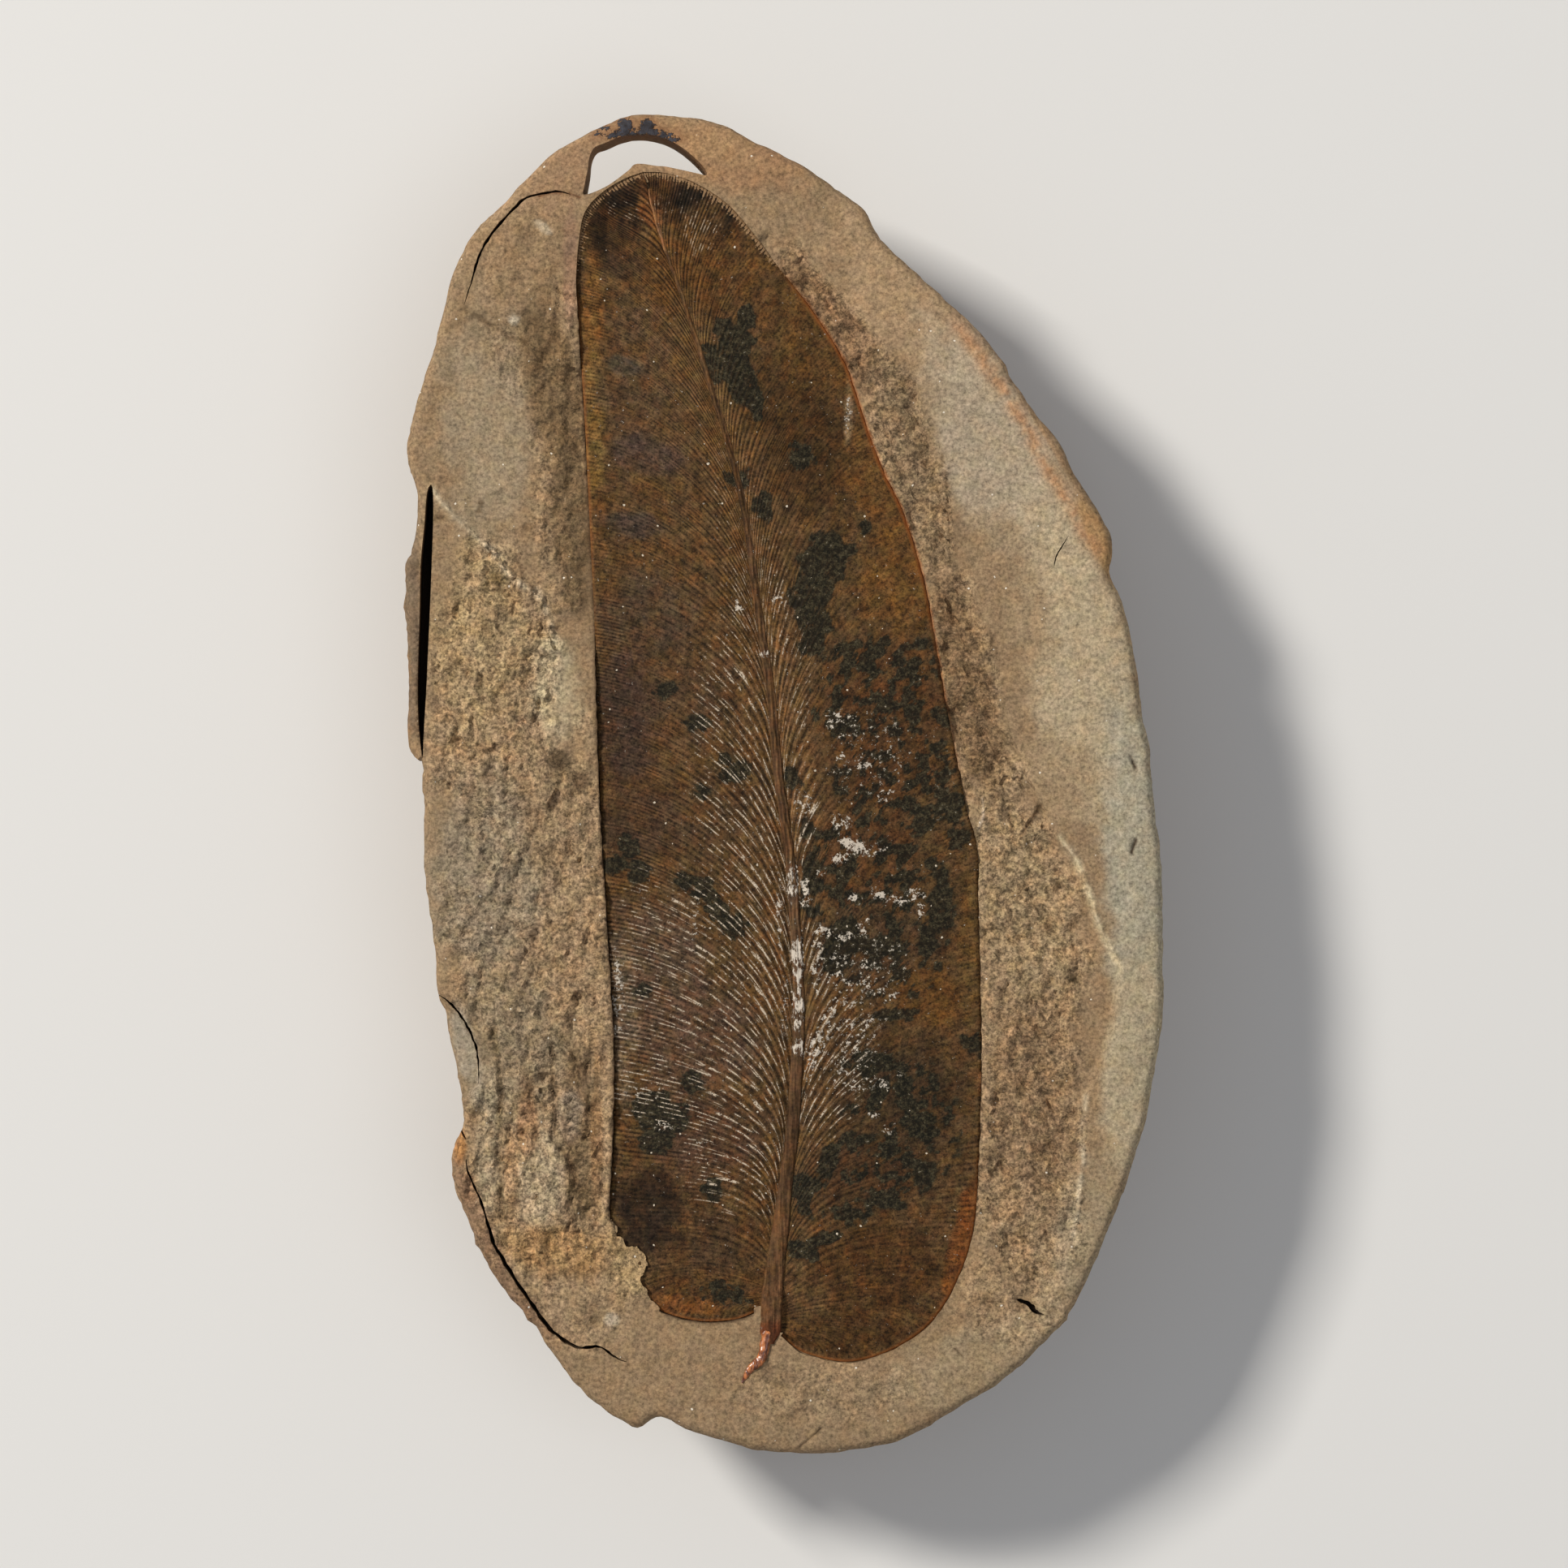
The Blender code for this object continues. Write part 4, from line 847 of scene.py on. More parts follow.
def cutter(name, mesh, top):
    """A closed solid between the faces of a mesh and a height, as an object that cuts the stone."""
    raised = bmesh.ops.extrude_face_region(mesh, geom=mesh.faces[:], use_keep_orig=True)
    for item in raised["geom"]:
        if isinstance(item, bmesh.types.BMVert):
            item.co.z = top * MM
    bmesh.ops.triangulate(mesh, faces=mesh.faces)
    bmesh.ops.recalc_face_normals(mesh, faces=mesh.faces)
    data = bpy.data.meshes.new(name)
    mesh.to_mesh(data)
    mesh.free()
    return add_object(name, data)


def prism(name, outline, low, high):
    """An upright cutter on an outline."""
    mesh = bmesh.new()
    mesh.faces.new([mesh.verts.new((x * MM, y * MM, low * MM)) for x, y in outline])
    return cutter(name, mesh, high)


def crack_outline(line, width):
    """The outline of an open crack: widest in the middle of its line, with ragged sides and closed ends."""
    steps = CRACK_STEPS * (len(line) - 1)
    places = smooth_line(line, np.linspace(0, len(line) - 1, steps + 1))
    across = left_of(unit(places[2:] - places[:-2]))
    inner = places[1:-1]
    half = width / 2 * np.sin(np.pi * np.arange(1, steps) / steps) ** CRACK_BLUNTNESS
    sides = []
    for k, way in enumerate((1, -1)):
        ragged = np.clip(1 + 0.8 * fractal(points_at(*inner.T, 5.0 * k), 0.7, 3), 0.3, 2)
        sides.append(inner + way * across * (half * ragged)[:, None])
    return np.vstack([places[:1], sides[0], places[-1:], sides[1][::-1]])


def cut(target, tools):
    """Cuts each tool out of a target and removes the tools."""
    for tool in tools:
        modifier = target.modifiers.new(tool.name, "BOOLEAN")
        modifier.operation = "DIFFERENCE"
        modifier.solver = "MANIFOLD"
        modifier.object = tool
    bpy.context.view_layer.update()
    evaluated = target.evaluated_get(bpy.context.evaluated_depsgraph_get())
    data = bpy.data.meshes.new_from_object(evaluated)
    target.modifiers.clear()
    target.data = data
    for tool in tools:
        bpy.data.objects.remove(tool)


def make_press():
    """The cutter whose underside lies a little under the leaflet, with upright walls at its margin."""
    left = vein_map(LEFT_VEINS, -1, PRESS_ROWS, PRESS_STEPS)
    right = vein_map(RIGHT_VEINS, 1, PRESS_ROWS, PRESS_STEPS[::-1])
    middle = (left[:, -1:] + right[:, :1]) / 2
    sheet = np.concatenate([left, middle, right], axis=1)
    t = np.r_[PRESS_STEPS, 0, PRESS_STEPS[::-1]][None]
    z = leaf_base_height(sheet[..., 0], sheet[..., 1], t) - LEAF_GAP
    for outer, inner in ((0, 1), (-1, -2)):
        outward = sheet[:, outer] - sheet[:, inner]
        ragged = 0.06 * (1 + 2 * fractal(points_at(*sheet[:, outer].T), 1.3, 4, 13.0))
        ragged = ragged * (1 - 0.95 * ease(sheet[:, outer, 1], 46, 50))
        length = np.maximum(np.hypot(*outward.T), 1e-6)
        sheet[:, outer] += outward * (np.clip(ragged, 0, 0.2) / length)[:, None]
    mesh = bmesh.new()
    points = points_at(sheet[..., 0], sheet[..., 1], z)
    mesh.from_mesh(mesh_from("leaf_press", points, grid_faces(*z.shape)))
    bmesh.ops.remove_doubles(mesh, verts=mesh.verts, dist=PRESS_WELD * MM)
    return cutter("leaf_press", mesh, PRESS_TOP)


def ragged_rim():
    """The plate's outline in plan, centred and a little ragged, anticlockwise from its right side."""
    rim = closed_curve(OUTLINE, RIM_POINTS)
    rim -= (rim.max(axis=0) + rim.min(axis=0)) / 2
    start = int(np.argmin(np.abs(np.arctan2(rim[:, 1], rim[:, 0]))))
    rim = np.roll(rim, -start, axis=0)
    return rim + unit(rim) * (0.07 * fractal(points_at(*rim.T), 1.6, 4, 3.0))[:, None]


def lattice(spacing):
    """Points of a triangular lattice over the whole plate."""
    ys = np.arange(-66, 66, spacing * math.sqrt(3) / 2)
    x, y = np.meshgrid(np.arange(-38, 38, spacing), ys)
    x = x + spacing / 2 * (np.arange(len(ys)) % 2)[:, None]
    return x.ravel(), y.ravel()


def line_points(line):
    """Closely spaced points on and beside a line given in pixels, so that the mesh can carry a fine mark."""
    places = np.array([plan(*p) for p in line])
    count = max(2, int(np.hypot(*np.diff(places, axis=0).T).sum() / LINE_SPACING))
    centre = smooth_line(places, np.linspace(0, len(places) - 1, count))
    across = left_of(unit(np.gradient(centre, axis=0)))
    return np.vstack([centre + across * offset for offset in LINE_OFFSETS])


def stone_plan():
    """The face's points in plan and its triangles: fine on bare stone, coarse where the leaflet hides it."""
    rim = ragged_rim()
    angle = np.unwrap(np.arctan2(rim[:, 1], rim[:, 0]))
    radius = np.hypot(*rim.T)
    margin = leaf_outline(MARGIN_POINTS)
    points = [rim]
    shown = (FACE_SPACING, -np.inf, HIDDEN_DEPTH)
    hidden = (HIDDEN_SPACING, HIDDEN_DEPTH + FACE_SPACING, np.inf)
    for spacing, low, high in (shown, hidden):
        x, y = lattice(spacing)
        turn = np.mod(np.arctan2(y, x) - angle[0], 2 * math.pi) + angle[0]
        edge = np.interp(turn, np.r_[angle, angle[0] + 2 * math.pi], np.r_[radius, radius[0]])
        within = np.hypot(x, y) < edge - 0.7 * FACE_SPACING
        x, y = x[within], y[within]
        depth = depth_inside(x, y, margin)
        kept = (depth > low) & (depth <= high)
        points.append(np.stack([x[kept], y[kept]], axis=1))
    points = np.vstack([*points, *(line_points(line) for line, *_ in STONE_LINES)])
    edges = [(k, (k + 1) % RIM_POINTS) for k in range(RIM_POINTS)]
    found, _, triangles, origins, _, _ = delaunay_2d_cdt([Vector(p) for p in points], edges, [], 1, 1e-6)
    ring = np.full(RIM_POINTS, -1)
    for k, sources in enumerate(origins):
        for source in sources:
            if source < RIM_POINTS:
                ring[source] = k
    return rim, np.array([tuple(p) for p in found]), triangles, ring


def stone_face_height(x, y, inset):
    """The bare face with its ledges, lower where a layer has come away."""
    flat = points_at(x, y)
    wander = fractal(flat, 4.0, 5)
    wisp = fractal(flat, 1.3, 4, 11.0)
    z = face_height(x, y) + 0.10 * fractal(flat, 9.0, 3, 7.0)
    for polygon, floor, width in ((RIGHT_ZONE, RIGHT_ZONE_FLOOR, 0.45), (LEFT_ZONE, LEFT_ZONE_FLOOR, 0.6)):
        depth = depth_inside(x, y, polygon) + 0.35 * wander + 0.25 * wisp
        z = z + (np.minimum(z, floor + 0.12 * wander) - z) * ease(depth, -0.1, width)
    far, along = line_distance(x, y, leaf_outline(MARGIN_POINTS), closed=True)
    beside = (along < 0.5) * ease(y, 9, 17) * ease(46 - y, 0, 8)
    z = z - 0.5 * beside * (1 - ease(far, 0.3, 4.5))
    for polygon, floor in ((RIND_LEFT, RIND_LEFT_FLOOR + 1.6 * ease(y, 18, 26)), (RIND_LOW, RIND_LOW_FLOOR)):
        z = z + (np.minimum(z, floor) - z) * ease(depth_inside(x, y, polygon), -0.1, 0.25)
    return z - RIM_ROLL * np.maximum(0, 1 - inset / RIM_ROLL) ** 2


def stone_skin():
    """The uncut nodule half's points and faces, its split face's first, and how many points that face has."""
    rim, place, triangles, ring = stone_plan()
    x, y = place.T
    tree = KDTree(RIM_POINTS)
    for k, (px, py) in enumerate(rim):
        tree.insert((px, py, 0), k)
    tree.balance()
    inset = np.array([tree.find((px, py, 0))[2] for px, py in place])
    z = stone_face_height(x, y, inset)
    points = [points_at(x, y, z)]
    faces = [tuple(face) for face in triangles]
    previous = ring
    total = len(place)
    around = np.arctan2(rim[:, 1], rim[:, 0])
    broad, narrow, down = BACK_WAVES
    for k in range(1, FLANK_RINGS + FLAT_RINGS):
        step = min(k / FLANK_RINGS, 1.0)
        share = BASE_SHARE + (1 - BASE_SHARE) * math.cos(step * math.pi / 2) ** FLANK_POWER
        if k > FLANK_RINGS:
            share = BASE_SHARE * (1 - (k - FLANK_RINGS) / FLAT_RINGS)
        lump = BACK_LUMP * np.sin(broad * around + 1) * np.sin(narrow * around + down * step)
        level = z[ring] * (1 - math.sin(step * math.pi / 2)) + lump * math.sin(math.pi * step)
        points.append(np.c_[rim * share, np.maximum(level, 0)])
        current = total + np.arange(RIM_POINTS)
        total += RIM_POINTS
        faces += list(zip(previous, current, np.roll(current, -1), np.roll(previous, -1)))
        previous = current
    points.append(np.zeros((1, 3)))
    faces += [(a, total, b) for a, b in zip(previous, np.roll(previous, -1))]
    return np.vstack(points), faces, len(place)


def make_stone(finish):
    """The nodule half: broken face, rounded rim and back, cut by the leaflet's bed, cracks and opening."""
    points, faces, face_count = stone_skin()
    data = mesh_from("nodule_blank", points, faces)
    turn_outward(data)
    normals = np.zeros(points.size)
    data.vertices.foreach_get("normal", normals)
    roughen(points, normals.reshape(-1, 3), face_count)
    data.vertices.foreach_set("co", (points * MM).ravel())

    stone = add_object("nodule_stone", data, finish)
    press = make_press()
    patch = closed_curve(PATCH, 200)
    crumble = np.stack([fractal(points_at(*patch.T, 3.0 * k), 1.0, 4) for k in (1, 2)], axis=1)
    cut(press, [prism("patch", patch + 0.35 * crumble, PATCH_BOTTOM, PATCH_TOP)])
    tools = [press]
    for name, (line, width, depth) in CRACKS.items():
        tools.append(prism(name, crack_outline(line, width), FACE_Z - depth, CUTTER_TOP))
    tools.append(prism("slot_left", closed_curve(SLOT, 120), FACE_Z - SLOT_DEPTH, CUTTER_TOP))
    tools.append(prism("tip_opening", closed_curve(HOLE, 160), HOLE_BOTTOM, CUTTER_TOP))
    cut(stone, tools)
    stone.data.name = "nodule_stone"
    stone.data.shade_smooth()
    stone.data.set_sharp_from_angle(angle=SHARP_ANGLE)
    paint_stone(stone.data)
    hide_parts("nodule")
    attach(stone, BODY)


def lay(colour, seen, share):
    """Lays a colour over the colours at points, by a share of it at each."""
    colour += (tone(*seen) - colour) * share[:, None]


def tinted(x, y, ground, tints, wander):
    """Colours at points: a ground with tints laid on one after another, their edges wandering."""
    colour = np.tile(tone(*ground), (len(x), 1))
    for middle, radii, lean, seen, strength in tints:
        lay(colour, seen, strength * ease(blob(x, y, middle, radii, lean) + wander, -0.15, 0.4))
    return colour


def clouded(colour, flat, light, hue, offset):
    """Clouds that turn a colour lighter or darker, warmer or cooler and greener or pinker."""
    shade = 0.30 * fractal(flat, 1.5, 4, offset) + 0.30 * fractal(flat, 0.6, 3, offset + 5)
    warmth = fractal(flat, 1.4, 4, offset + 9)
    pinkness = fractal(flat, 1.0, 4, offset + 14)
    colour = colour * (1 + light * shade)[:, None]
    for field, turned in ((warmth, WARMER), (-warmth, COOLER), (pinkness, PINKER), (-pinkness, GREENER)):
        share = hue * ease(field, 0.02, 0.5)
        colour *= 1 + share[:, None] * (np.array(turned) - 1)
    return colour


def line_marks(x, y):
    """For each mark on the stone, how near points are to it, 0 to 1, and its height, colour and strength."""
    for line, half, height, seen, strength in STONE_LINES:
        far, _ = line_distance(x, y, [plan(*p) for p in line])
        yield np.exp(-(far / (half * PIXEL)) ** 2), height, seen, strength


def facets(x, y, size, seed):
    """Random tilted chips, as of broken rock: each point's height on its chip, and a number for the chip."""
    table = np.random.default_rng(seed).random((CHIP_TABLE, CHIP_TABLE, 6))
    flat = points_at(x, y, seed)
    across = x / size + 0.35 * fractal(flat, 0.5 * size, 3)
    up = y / size + 0.35 * fractal(flat, 0.5 * size, 3, 8.0)
    nearest = np.full(x.shape, 9.0)
    height = np.zeros(x.shape)
    own = np.zeros(x.shape)
    for right in (-1, 0, 1):
        for above in (-1, 0, 1):
            column = np.floor(across).astype(int) + right
            row = np.floor(up).astype(int) + above
            chosen = table[column % CHIP_TABLE, row % CHIP_TABLE]
            from_left, from_below, level, lean_x, lean_y, number = chosen.T
            from_x = across - column - 0.1 - 0.8 * from_left
            from_y = up - row - 0.1 - 0.8 * from_below
            far = np.hypot(from_x, from_y)
            closer = far < nearest
            nearest = np.where(closer, far, nearest)
            slope = 3 * ((lean_x - 0.5) * from_x + (lean_y - 0.5) * from_y)
            height = np.where(closer, level - 0.5 + slope, height)
            own = np.where(closer, number, own)
    return height, own


def roughen(points, normals, face_count):
    """Moves the stone's points along their normals: crumbly broken zones, a pitted back, a flat underside."""
    x, y, z = points.T
    rough = roughness_at(x, y, fractal(points_at(x, y), 4.0, 5))
    on_face = np.arange(len(points)) < face_count
    grit = fractal(points, 1.0, 3, 21.0)
    lean = np.where(x > 0, STRATA_LEAN[1], STRATA_LEAN[0])
    across, along = x * np.cos(lean) + y * np.sin(lean), x * np.sin(lean) - y * np.cos(lean)
    strata = fractal(points_at(across / 0.9, along / 3.2), 1.0, 4, 44.0)
    chips = fractal(points, 3.2, 5, 35.0)
    pits = np.minimum(fractal(points, 1.4, 3, 51.0) + 0.30, 0)
    large, _ = facets(x, y / 1.3, *LARGE_CHIPS)
    small, _ = facets(x, y, *SMALL_CHIPS)
    face_push = (0.05 + 0.12 * rough) * grit + (0.12 + 0.46 * rough) * chips + 0.25 * rough * pits
    face_push += rough * (0.27 * large + 0.12 * small + 0.44 * strata)
    face_push = np.where(face_push > 0, TALLEST_GRIT * np.tanh(face_push / TALLEST_GRIT), face_push)
    back_push = 0.12 * grit + 0.22 * chips + 0.35 * fractal(points, 14.0, 3, 63.0)
    push = np.where(on_face, face_push, back_push * ease(20.5 - z, 0.0, 4.0) + face_push * 0.5)
    points += normals * push[:, None]
    for near, height, _, _ in line_marks(x, y):
        points[:, 2] += np.where(on_face, height * near, 0)
    resting = (z < 0.25) & ~on_face
    lifted = np.maximum(0.12 * (push + 0.1), 0) * ease(np.hypot(x, y), 4, 12)
    points[:, 2] = np.maximum(np.where(resting, lifted, points[:, 2]), 0)
    level = np.hypot(x / FLAT_PATCH[0], y / FLAT_PATCH[1]) < 0.8
    points[:, 2] = np.where(level & ~on_face, np.minimum(points[:, 2], 0), points[:, 2])


def inside_crack(x, y, z):
    """1 on the walls and floors of the slot and the cracks, where painted shade darkens them, and 0 elsewhere.
    """
    found = (depth_inside(x, y, SLOT) > -0.12) & (z > FACE_Z - SLOT_DEPTH - 0.1)
    for line, width, depth in CRACKS.values():
        found |= (line_distance(x, y, line)[0] < width * 0.75) & (z > FACE_Z - depth - 0.1)
    return found.astype(float)


def paint_stone(data):
    """Stores the stone's tints, how broken it is, and where crust, margin lines and the cracks' painted shade
    lie.
    """
    x, y, z = points_of(data).T
    flat = points_at(x, y, z * 0.6)
    wander = fractal(points_at(x, y), 4.0, 5)
    wisp = fractal(flat, 1.3, 4, 11.0)
    rough = roughness_at(x, y, wander)
    colour = tinted(x, y, STONE_GROUND, STONE_TINTS, 0.22 * wander + 0.10 * wisp)
    uneven = np.clip(1 + 1.2 * wisp, 0.3, 1.3)
    on_top = ease(z, 18.0, 19.5)
    # Pale rims and dark furrows: paler stone with painted highlight, and painted shade in the grooves.
    for near, _, seen, strength in line_marks(x, y):
        lay(colour, seen, np.clip(strength * near * uneven * on_top, 0, 1))
    rind = np.tile(tone(*RIND_BROWN), (len(x), 1))
    lay(rind, RIND_RUSTY, ease(wander, -0.2, 0.5))
    colour += (rind - colour) * ease(18.3 - z + 0.8 * wander, 0.0, 1.6)[:, None]
    colour = clouded(colour, flat, 0.28 + 0.32 * rough, 0.16 + 0.08 * rough, 70.0)
    _, own = facets(x, y, *SMALL_CHIPS)
    colour *= (1 + (0.24 + 0.18 * (own - 0.5)) * rough)[:, None]
    store(data, "tint", colour)
    store(data, "broken", rough)
    crust = np.full(len(x), -1.0)
    for middle, radii in CRUST:
        crust = np.maximum(crust, blob(x, y, middle, radii, 0) * min(radii) * PIXEL)
    store(data, "crust", np.where(z > 18.4, crust, -1.0))
    far, along = line_distance(x, y, leaf_outline(FINE_MARGIN_POINTS), closed=True)
    high = ease(z, 17.0, 18.5) * (depth_inside(x, y, PATCH) < -0.2)
    # A thin dark line on the stone along the leaflet's left margin: the leaflet's dark film, and painted shade
    # of the step down to the leaflet.
    film = (along < 0.5) * ease(-y, -50, -42)
    rust = (along >= 0.5) * ease(y, -5, 15) * ease(51 - y, 0, 6)
    store(data, "film_and_shade_line", np.exp(-(far / 0.20) ** 2) * film * high)
    store(data, "rust_line", np.exp(-(far / 0.14) ** 2) * rust * high)
    # Painted shade: darkens the deep walls and floors of the slot and the cracks.
    store(data, "crack_shade", ease(FACE_Z - 0.9 - z, 0.0, 0.6) * inside_crack(x, y, z))


def scattered(seeds):
    """A number from -1 to 1 for each seed, which looks random and is the same each time."""
    large = np.sin(seeds) * 43758.5453
    return (large - np.floor(large)) * 2 - 1


def fork_folds(vein, t, upper, base, side):
    """How far each point is across its strand, 0 on the crest and 1 at its side, and half a strand's width."""
    across = vein - np.round(vein)
    seeds = np.round(vein) * 7.31 + 100 * side
    half = np.full(vein.shape, 0.5)
    for level, (low_place, high_place, width) in enumerate(FORKS):
        seeds = seeds + np.sign(across) * (3.7 + level)
        jitter = scattered(seeds * 12.9898 + level * 78.233)
        place = low_place + (high_place - low_place) * upper - BASE_SOONER * base + FORK_SPREAD * jitter
        opened = width * ease(t - place, -FORK_LENGTH / 2, FORK_LENGTH / 2)
        across = np.abs(across) - opened
        half = half - opened
    return np.minimum(np.abs(across) / half, 1.3), half


def row_spread(sheet):
    """How far apart, across the veins, a primary vein's neighbours are at each point, in millimetres."""
    by_row = np.gradient(sheet, axis=0) * ROWS_PER_VEIN
    along = unit(np.gradient(sheet, axis=1))
    return np.abs(by_row[..., 0] * along[..., 1] - by_row[..., 1] * along[..., 0])


def vein_strength(x, y):
    """How plainly the veins show: strongly beside the midrib, weakly in plain and mottled places."""
    away = np.abs(x - midrib_at(y)[0][:, 0])
    reach = 4.0 + 2.2 * ease(-y, -22, 10)
    strength = 0.34 + 0.66 * np.exp(-(away / reach) ** 2) + 0.14 * ease(y, 5, 30) * ease(7 - away, 0, 4)
    strength = np.maximum(strength, laid(x, y, STRIATED))
    strength = strength * (1 - 0.88 * laid(x, y, PLAIN) * ease(away, 1.8, 4.5))
    strength = strength * (1 - 0.45 * ease(-y, 38, 50))
    return np.maximum(strength, 1.2 * ease(blob(x, y, *TIP_VEINS), 0.0, 0.5))


def dark_mineral(x, y, flat):
    """Where dark mineral covers the leaflet: ragged spots, and blotches in its mottled parts."""
    large = fractal(flat, 1.5, 4, 31.0)
    small = fractal(flat, 0.7, 3, 37.0)
    ragged = 0.08 + 0.50 * large + 0.40 * small
    covered = np.zeros(len(x))
    for middle, radii, lean in DARK_SPOTS:
        size = min(radii) * PIXEL
        inside = blob(x, y, middle, radii, lean) * size + min(size, 1.1) * ragged
        soft = 0.17 + 0.14 * min(size, 2.0)
        covered = np.maximum(covered, ease(inside, -soft, soft))
    mottle = laid(x, y, MOTTLED)
    blotch = ease(0.9 * large + 0.6 * small + 0.4 * (mottle - 1), -0.22, 0.28)
    return np.maximum(covered * (0.86 + 0.5 * small), 0.92 * blotch * ease(mottle, 0.1, 0.6))


def tip_teeth(vein, gap, inset, y, side):
    """How far each point is inside the pale vein ends that fringe the leaflet's tip, in millimetres."""
    lengths = np.clip(0.5 + 1.3 * fractal(points_at(vein * 5, 0, 9.0 * side), 1.0, 2), 0.05, 1.2)
    tip = ease(y, 47.5, 52.5)
    return tip * (0.24 + 0.66 * lengths * (1 - (gap / 0.75) ** 2)) - inset - 0.4 * (1 - tip)


def rust_edge(x, y, inset, side):
    """Where the leaflet's very margin is rusty orange."""
    if side > 0:
        strength = np.maximum(0.8 * ease(y, 5, 30) * ease(51 - y, 0, 6), 0.5 * ease(-y, 34, 44))
    else:
        strength = np.maximum(0.5 * ease(-y, 46, 50), 0.35 * ease(y, 10, 30) * ease(50 - y, 0, 6))
    return strength * (1 - ease(inset, 0.0, 0.38))


def paint_leaf(data, vein, gap, along, inset, side):
    """Stores the leaflet's tints and where its veins, minerals, dashes, teeth and rust lie."""
    x, y, _ = points_of(data).T
    flat = points_at(x, y, 3.0 * side)
    streak = fractal(points_at(vein * 9, along / 0.9, 40.0 * side), 1.0, 3)
    beads = fractal(points_at(vein * 5, along / 1.2, 60.0 * side), 1.0, 3)
    uneven = fractal(points_at(vein * 3.3, along / 5, 80.0 * side), 1.0, 4)
    colour = tinted(x, y, LEAF_GROUND, LEAF_TINTS, 0.3 * fractal(flat, 2.6, 5))
    colour = clouded(colour, flat, 1.2, 0.6, 90.0) * (1 + 0.35 * streak)[:, None] * LEAF_WARMTH
    store(data, "tint", np.clip(colour, 0, 1))
    store(data, "gap", gap)
    store(data, "strand", vein_strength(x, y) * np.clip(1 + 1.3 * uneven, 0.2, 1.7))
    store(data, "bead", laid(x, y, DASHES) * ease(beads, -0.25, 0.35))
    store(data, "dark", dark_mineral(x, y, flat))
    store(data, "chalk", laid(x, y, CHALK))
    store(data, "teeth", np.clip(tip_teeth(vein, gap, inset, y, side), -1, 1))
    store(data, "rust", rust_edge(x, y, inset, side))


def crease_relief(x, y):
    """A fine upright crease in the left half of the leaflet."""
    far, along = line_distance(x, y, [plan(*p) for p in CREASE])
    return -0.10 * np.exp(-(far / 0.12) ** 2) * np.sin(np.pi * np.clip(along, 0, 1)) ** 0.5


def make_leaf_half(name, guides, side, finish):
    """One half of the leaflet as a sheet whose rows follow its veins, with every fork and ridge in relief."""
    count = VEINS * ROWS_PER_VEIN + 1
    steps = np.linspace(0, 1, LEAF_COLUMNS) ** COLUMN_POWER
    sheet = vein_map(guides, side, count, steps)
    skirt = sheet[:, -1] + SKIRT_OUT * unit(sheet[:, -1] - sheet[:, -2])
    sheet = np.concatenate([sheet, skirt[:, None]], axis=1)
    x, y = sheet[..., 0], sheet[..., 1]
    t = np.broadcast_to(np.r_[steps, 1.0], x.shape)
    vein = np.broadcast_to(np.linspace(0, VEINS, count)[:, None], x.shape)
    along = np.zeros(x.shape)
    along[:, 1:] = np.cumsum(np.linalg.norm(np.diff(sheet, axis=1), axis=2), axis=1)
    inset = np.maximum(along[:, -2:-1] - along, 0)
    gap, half = fork_folds(vein, t, ease(y[:, :1], 0, 22), ease(-y[:, :1], 34, 46), side)
    pitch = np.minimum(half * row_spread(sheet), WIDEST_PITCH)

    flat = points_at(x, y)
    noises = ((5.0, 4.0), (1.2, 14.0), (0.45, 9.0))
    soft, lumps, grain = (fractal(flat, size, 3, offset).reshape(x.shape) for size, offset in noises)
    strength = vein_strength(x.ravel(), y.ravel()).reshape(x.shape)
    crest = np.exp(-(gap / CREST_SHARE) ** 2) - 0.4
    z = leaf_base_height(x, y, t) + VEIN_CREST * pitch * strength * crest * ease(t, -0.02, 0.05)
    lift = np.maximum(EDGE_LIFT * (side < 0), TIP_LIFT * ease(y, 48, 53))
    z = z + lift * (1 - ease(inset, 0.0, 3.0))
    z = z + 0.06 * soft + 0.035 * lumps * (1.4 - strength) + 0.022 * grain + crease_relief(x, y)
    z[:, -1] = z[:, -2] - SKIRT_DOWN
    faces = grid_faces(*z.shape)
    data = mesh_from(name, points_at(x, y, z), faces if side > 0 else faces[:, ::-1])
    data.shade_smooth()
    paint_leaf(data, *(part.ravel() for part in (vein, gap, along, inset)), side)
    leaf = add_object(name, data, finish)
    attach(leaf, BODY)


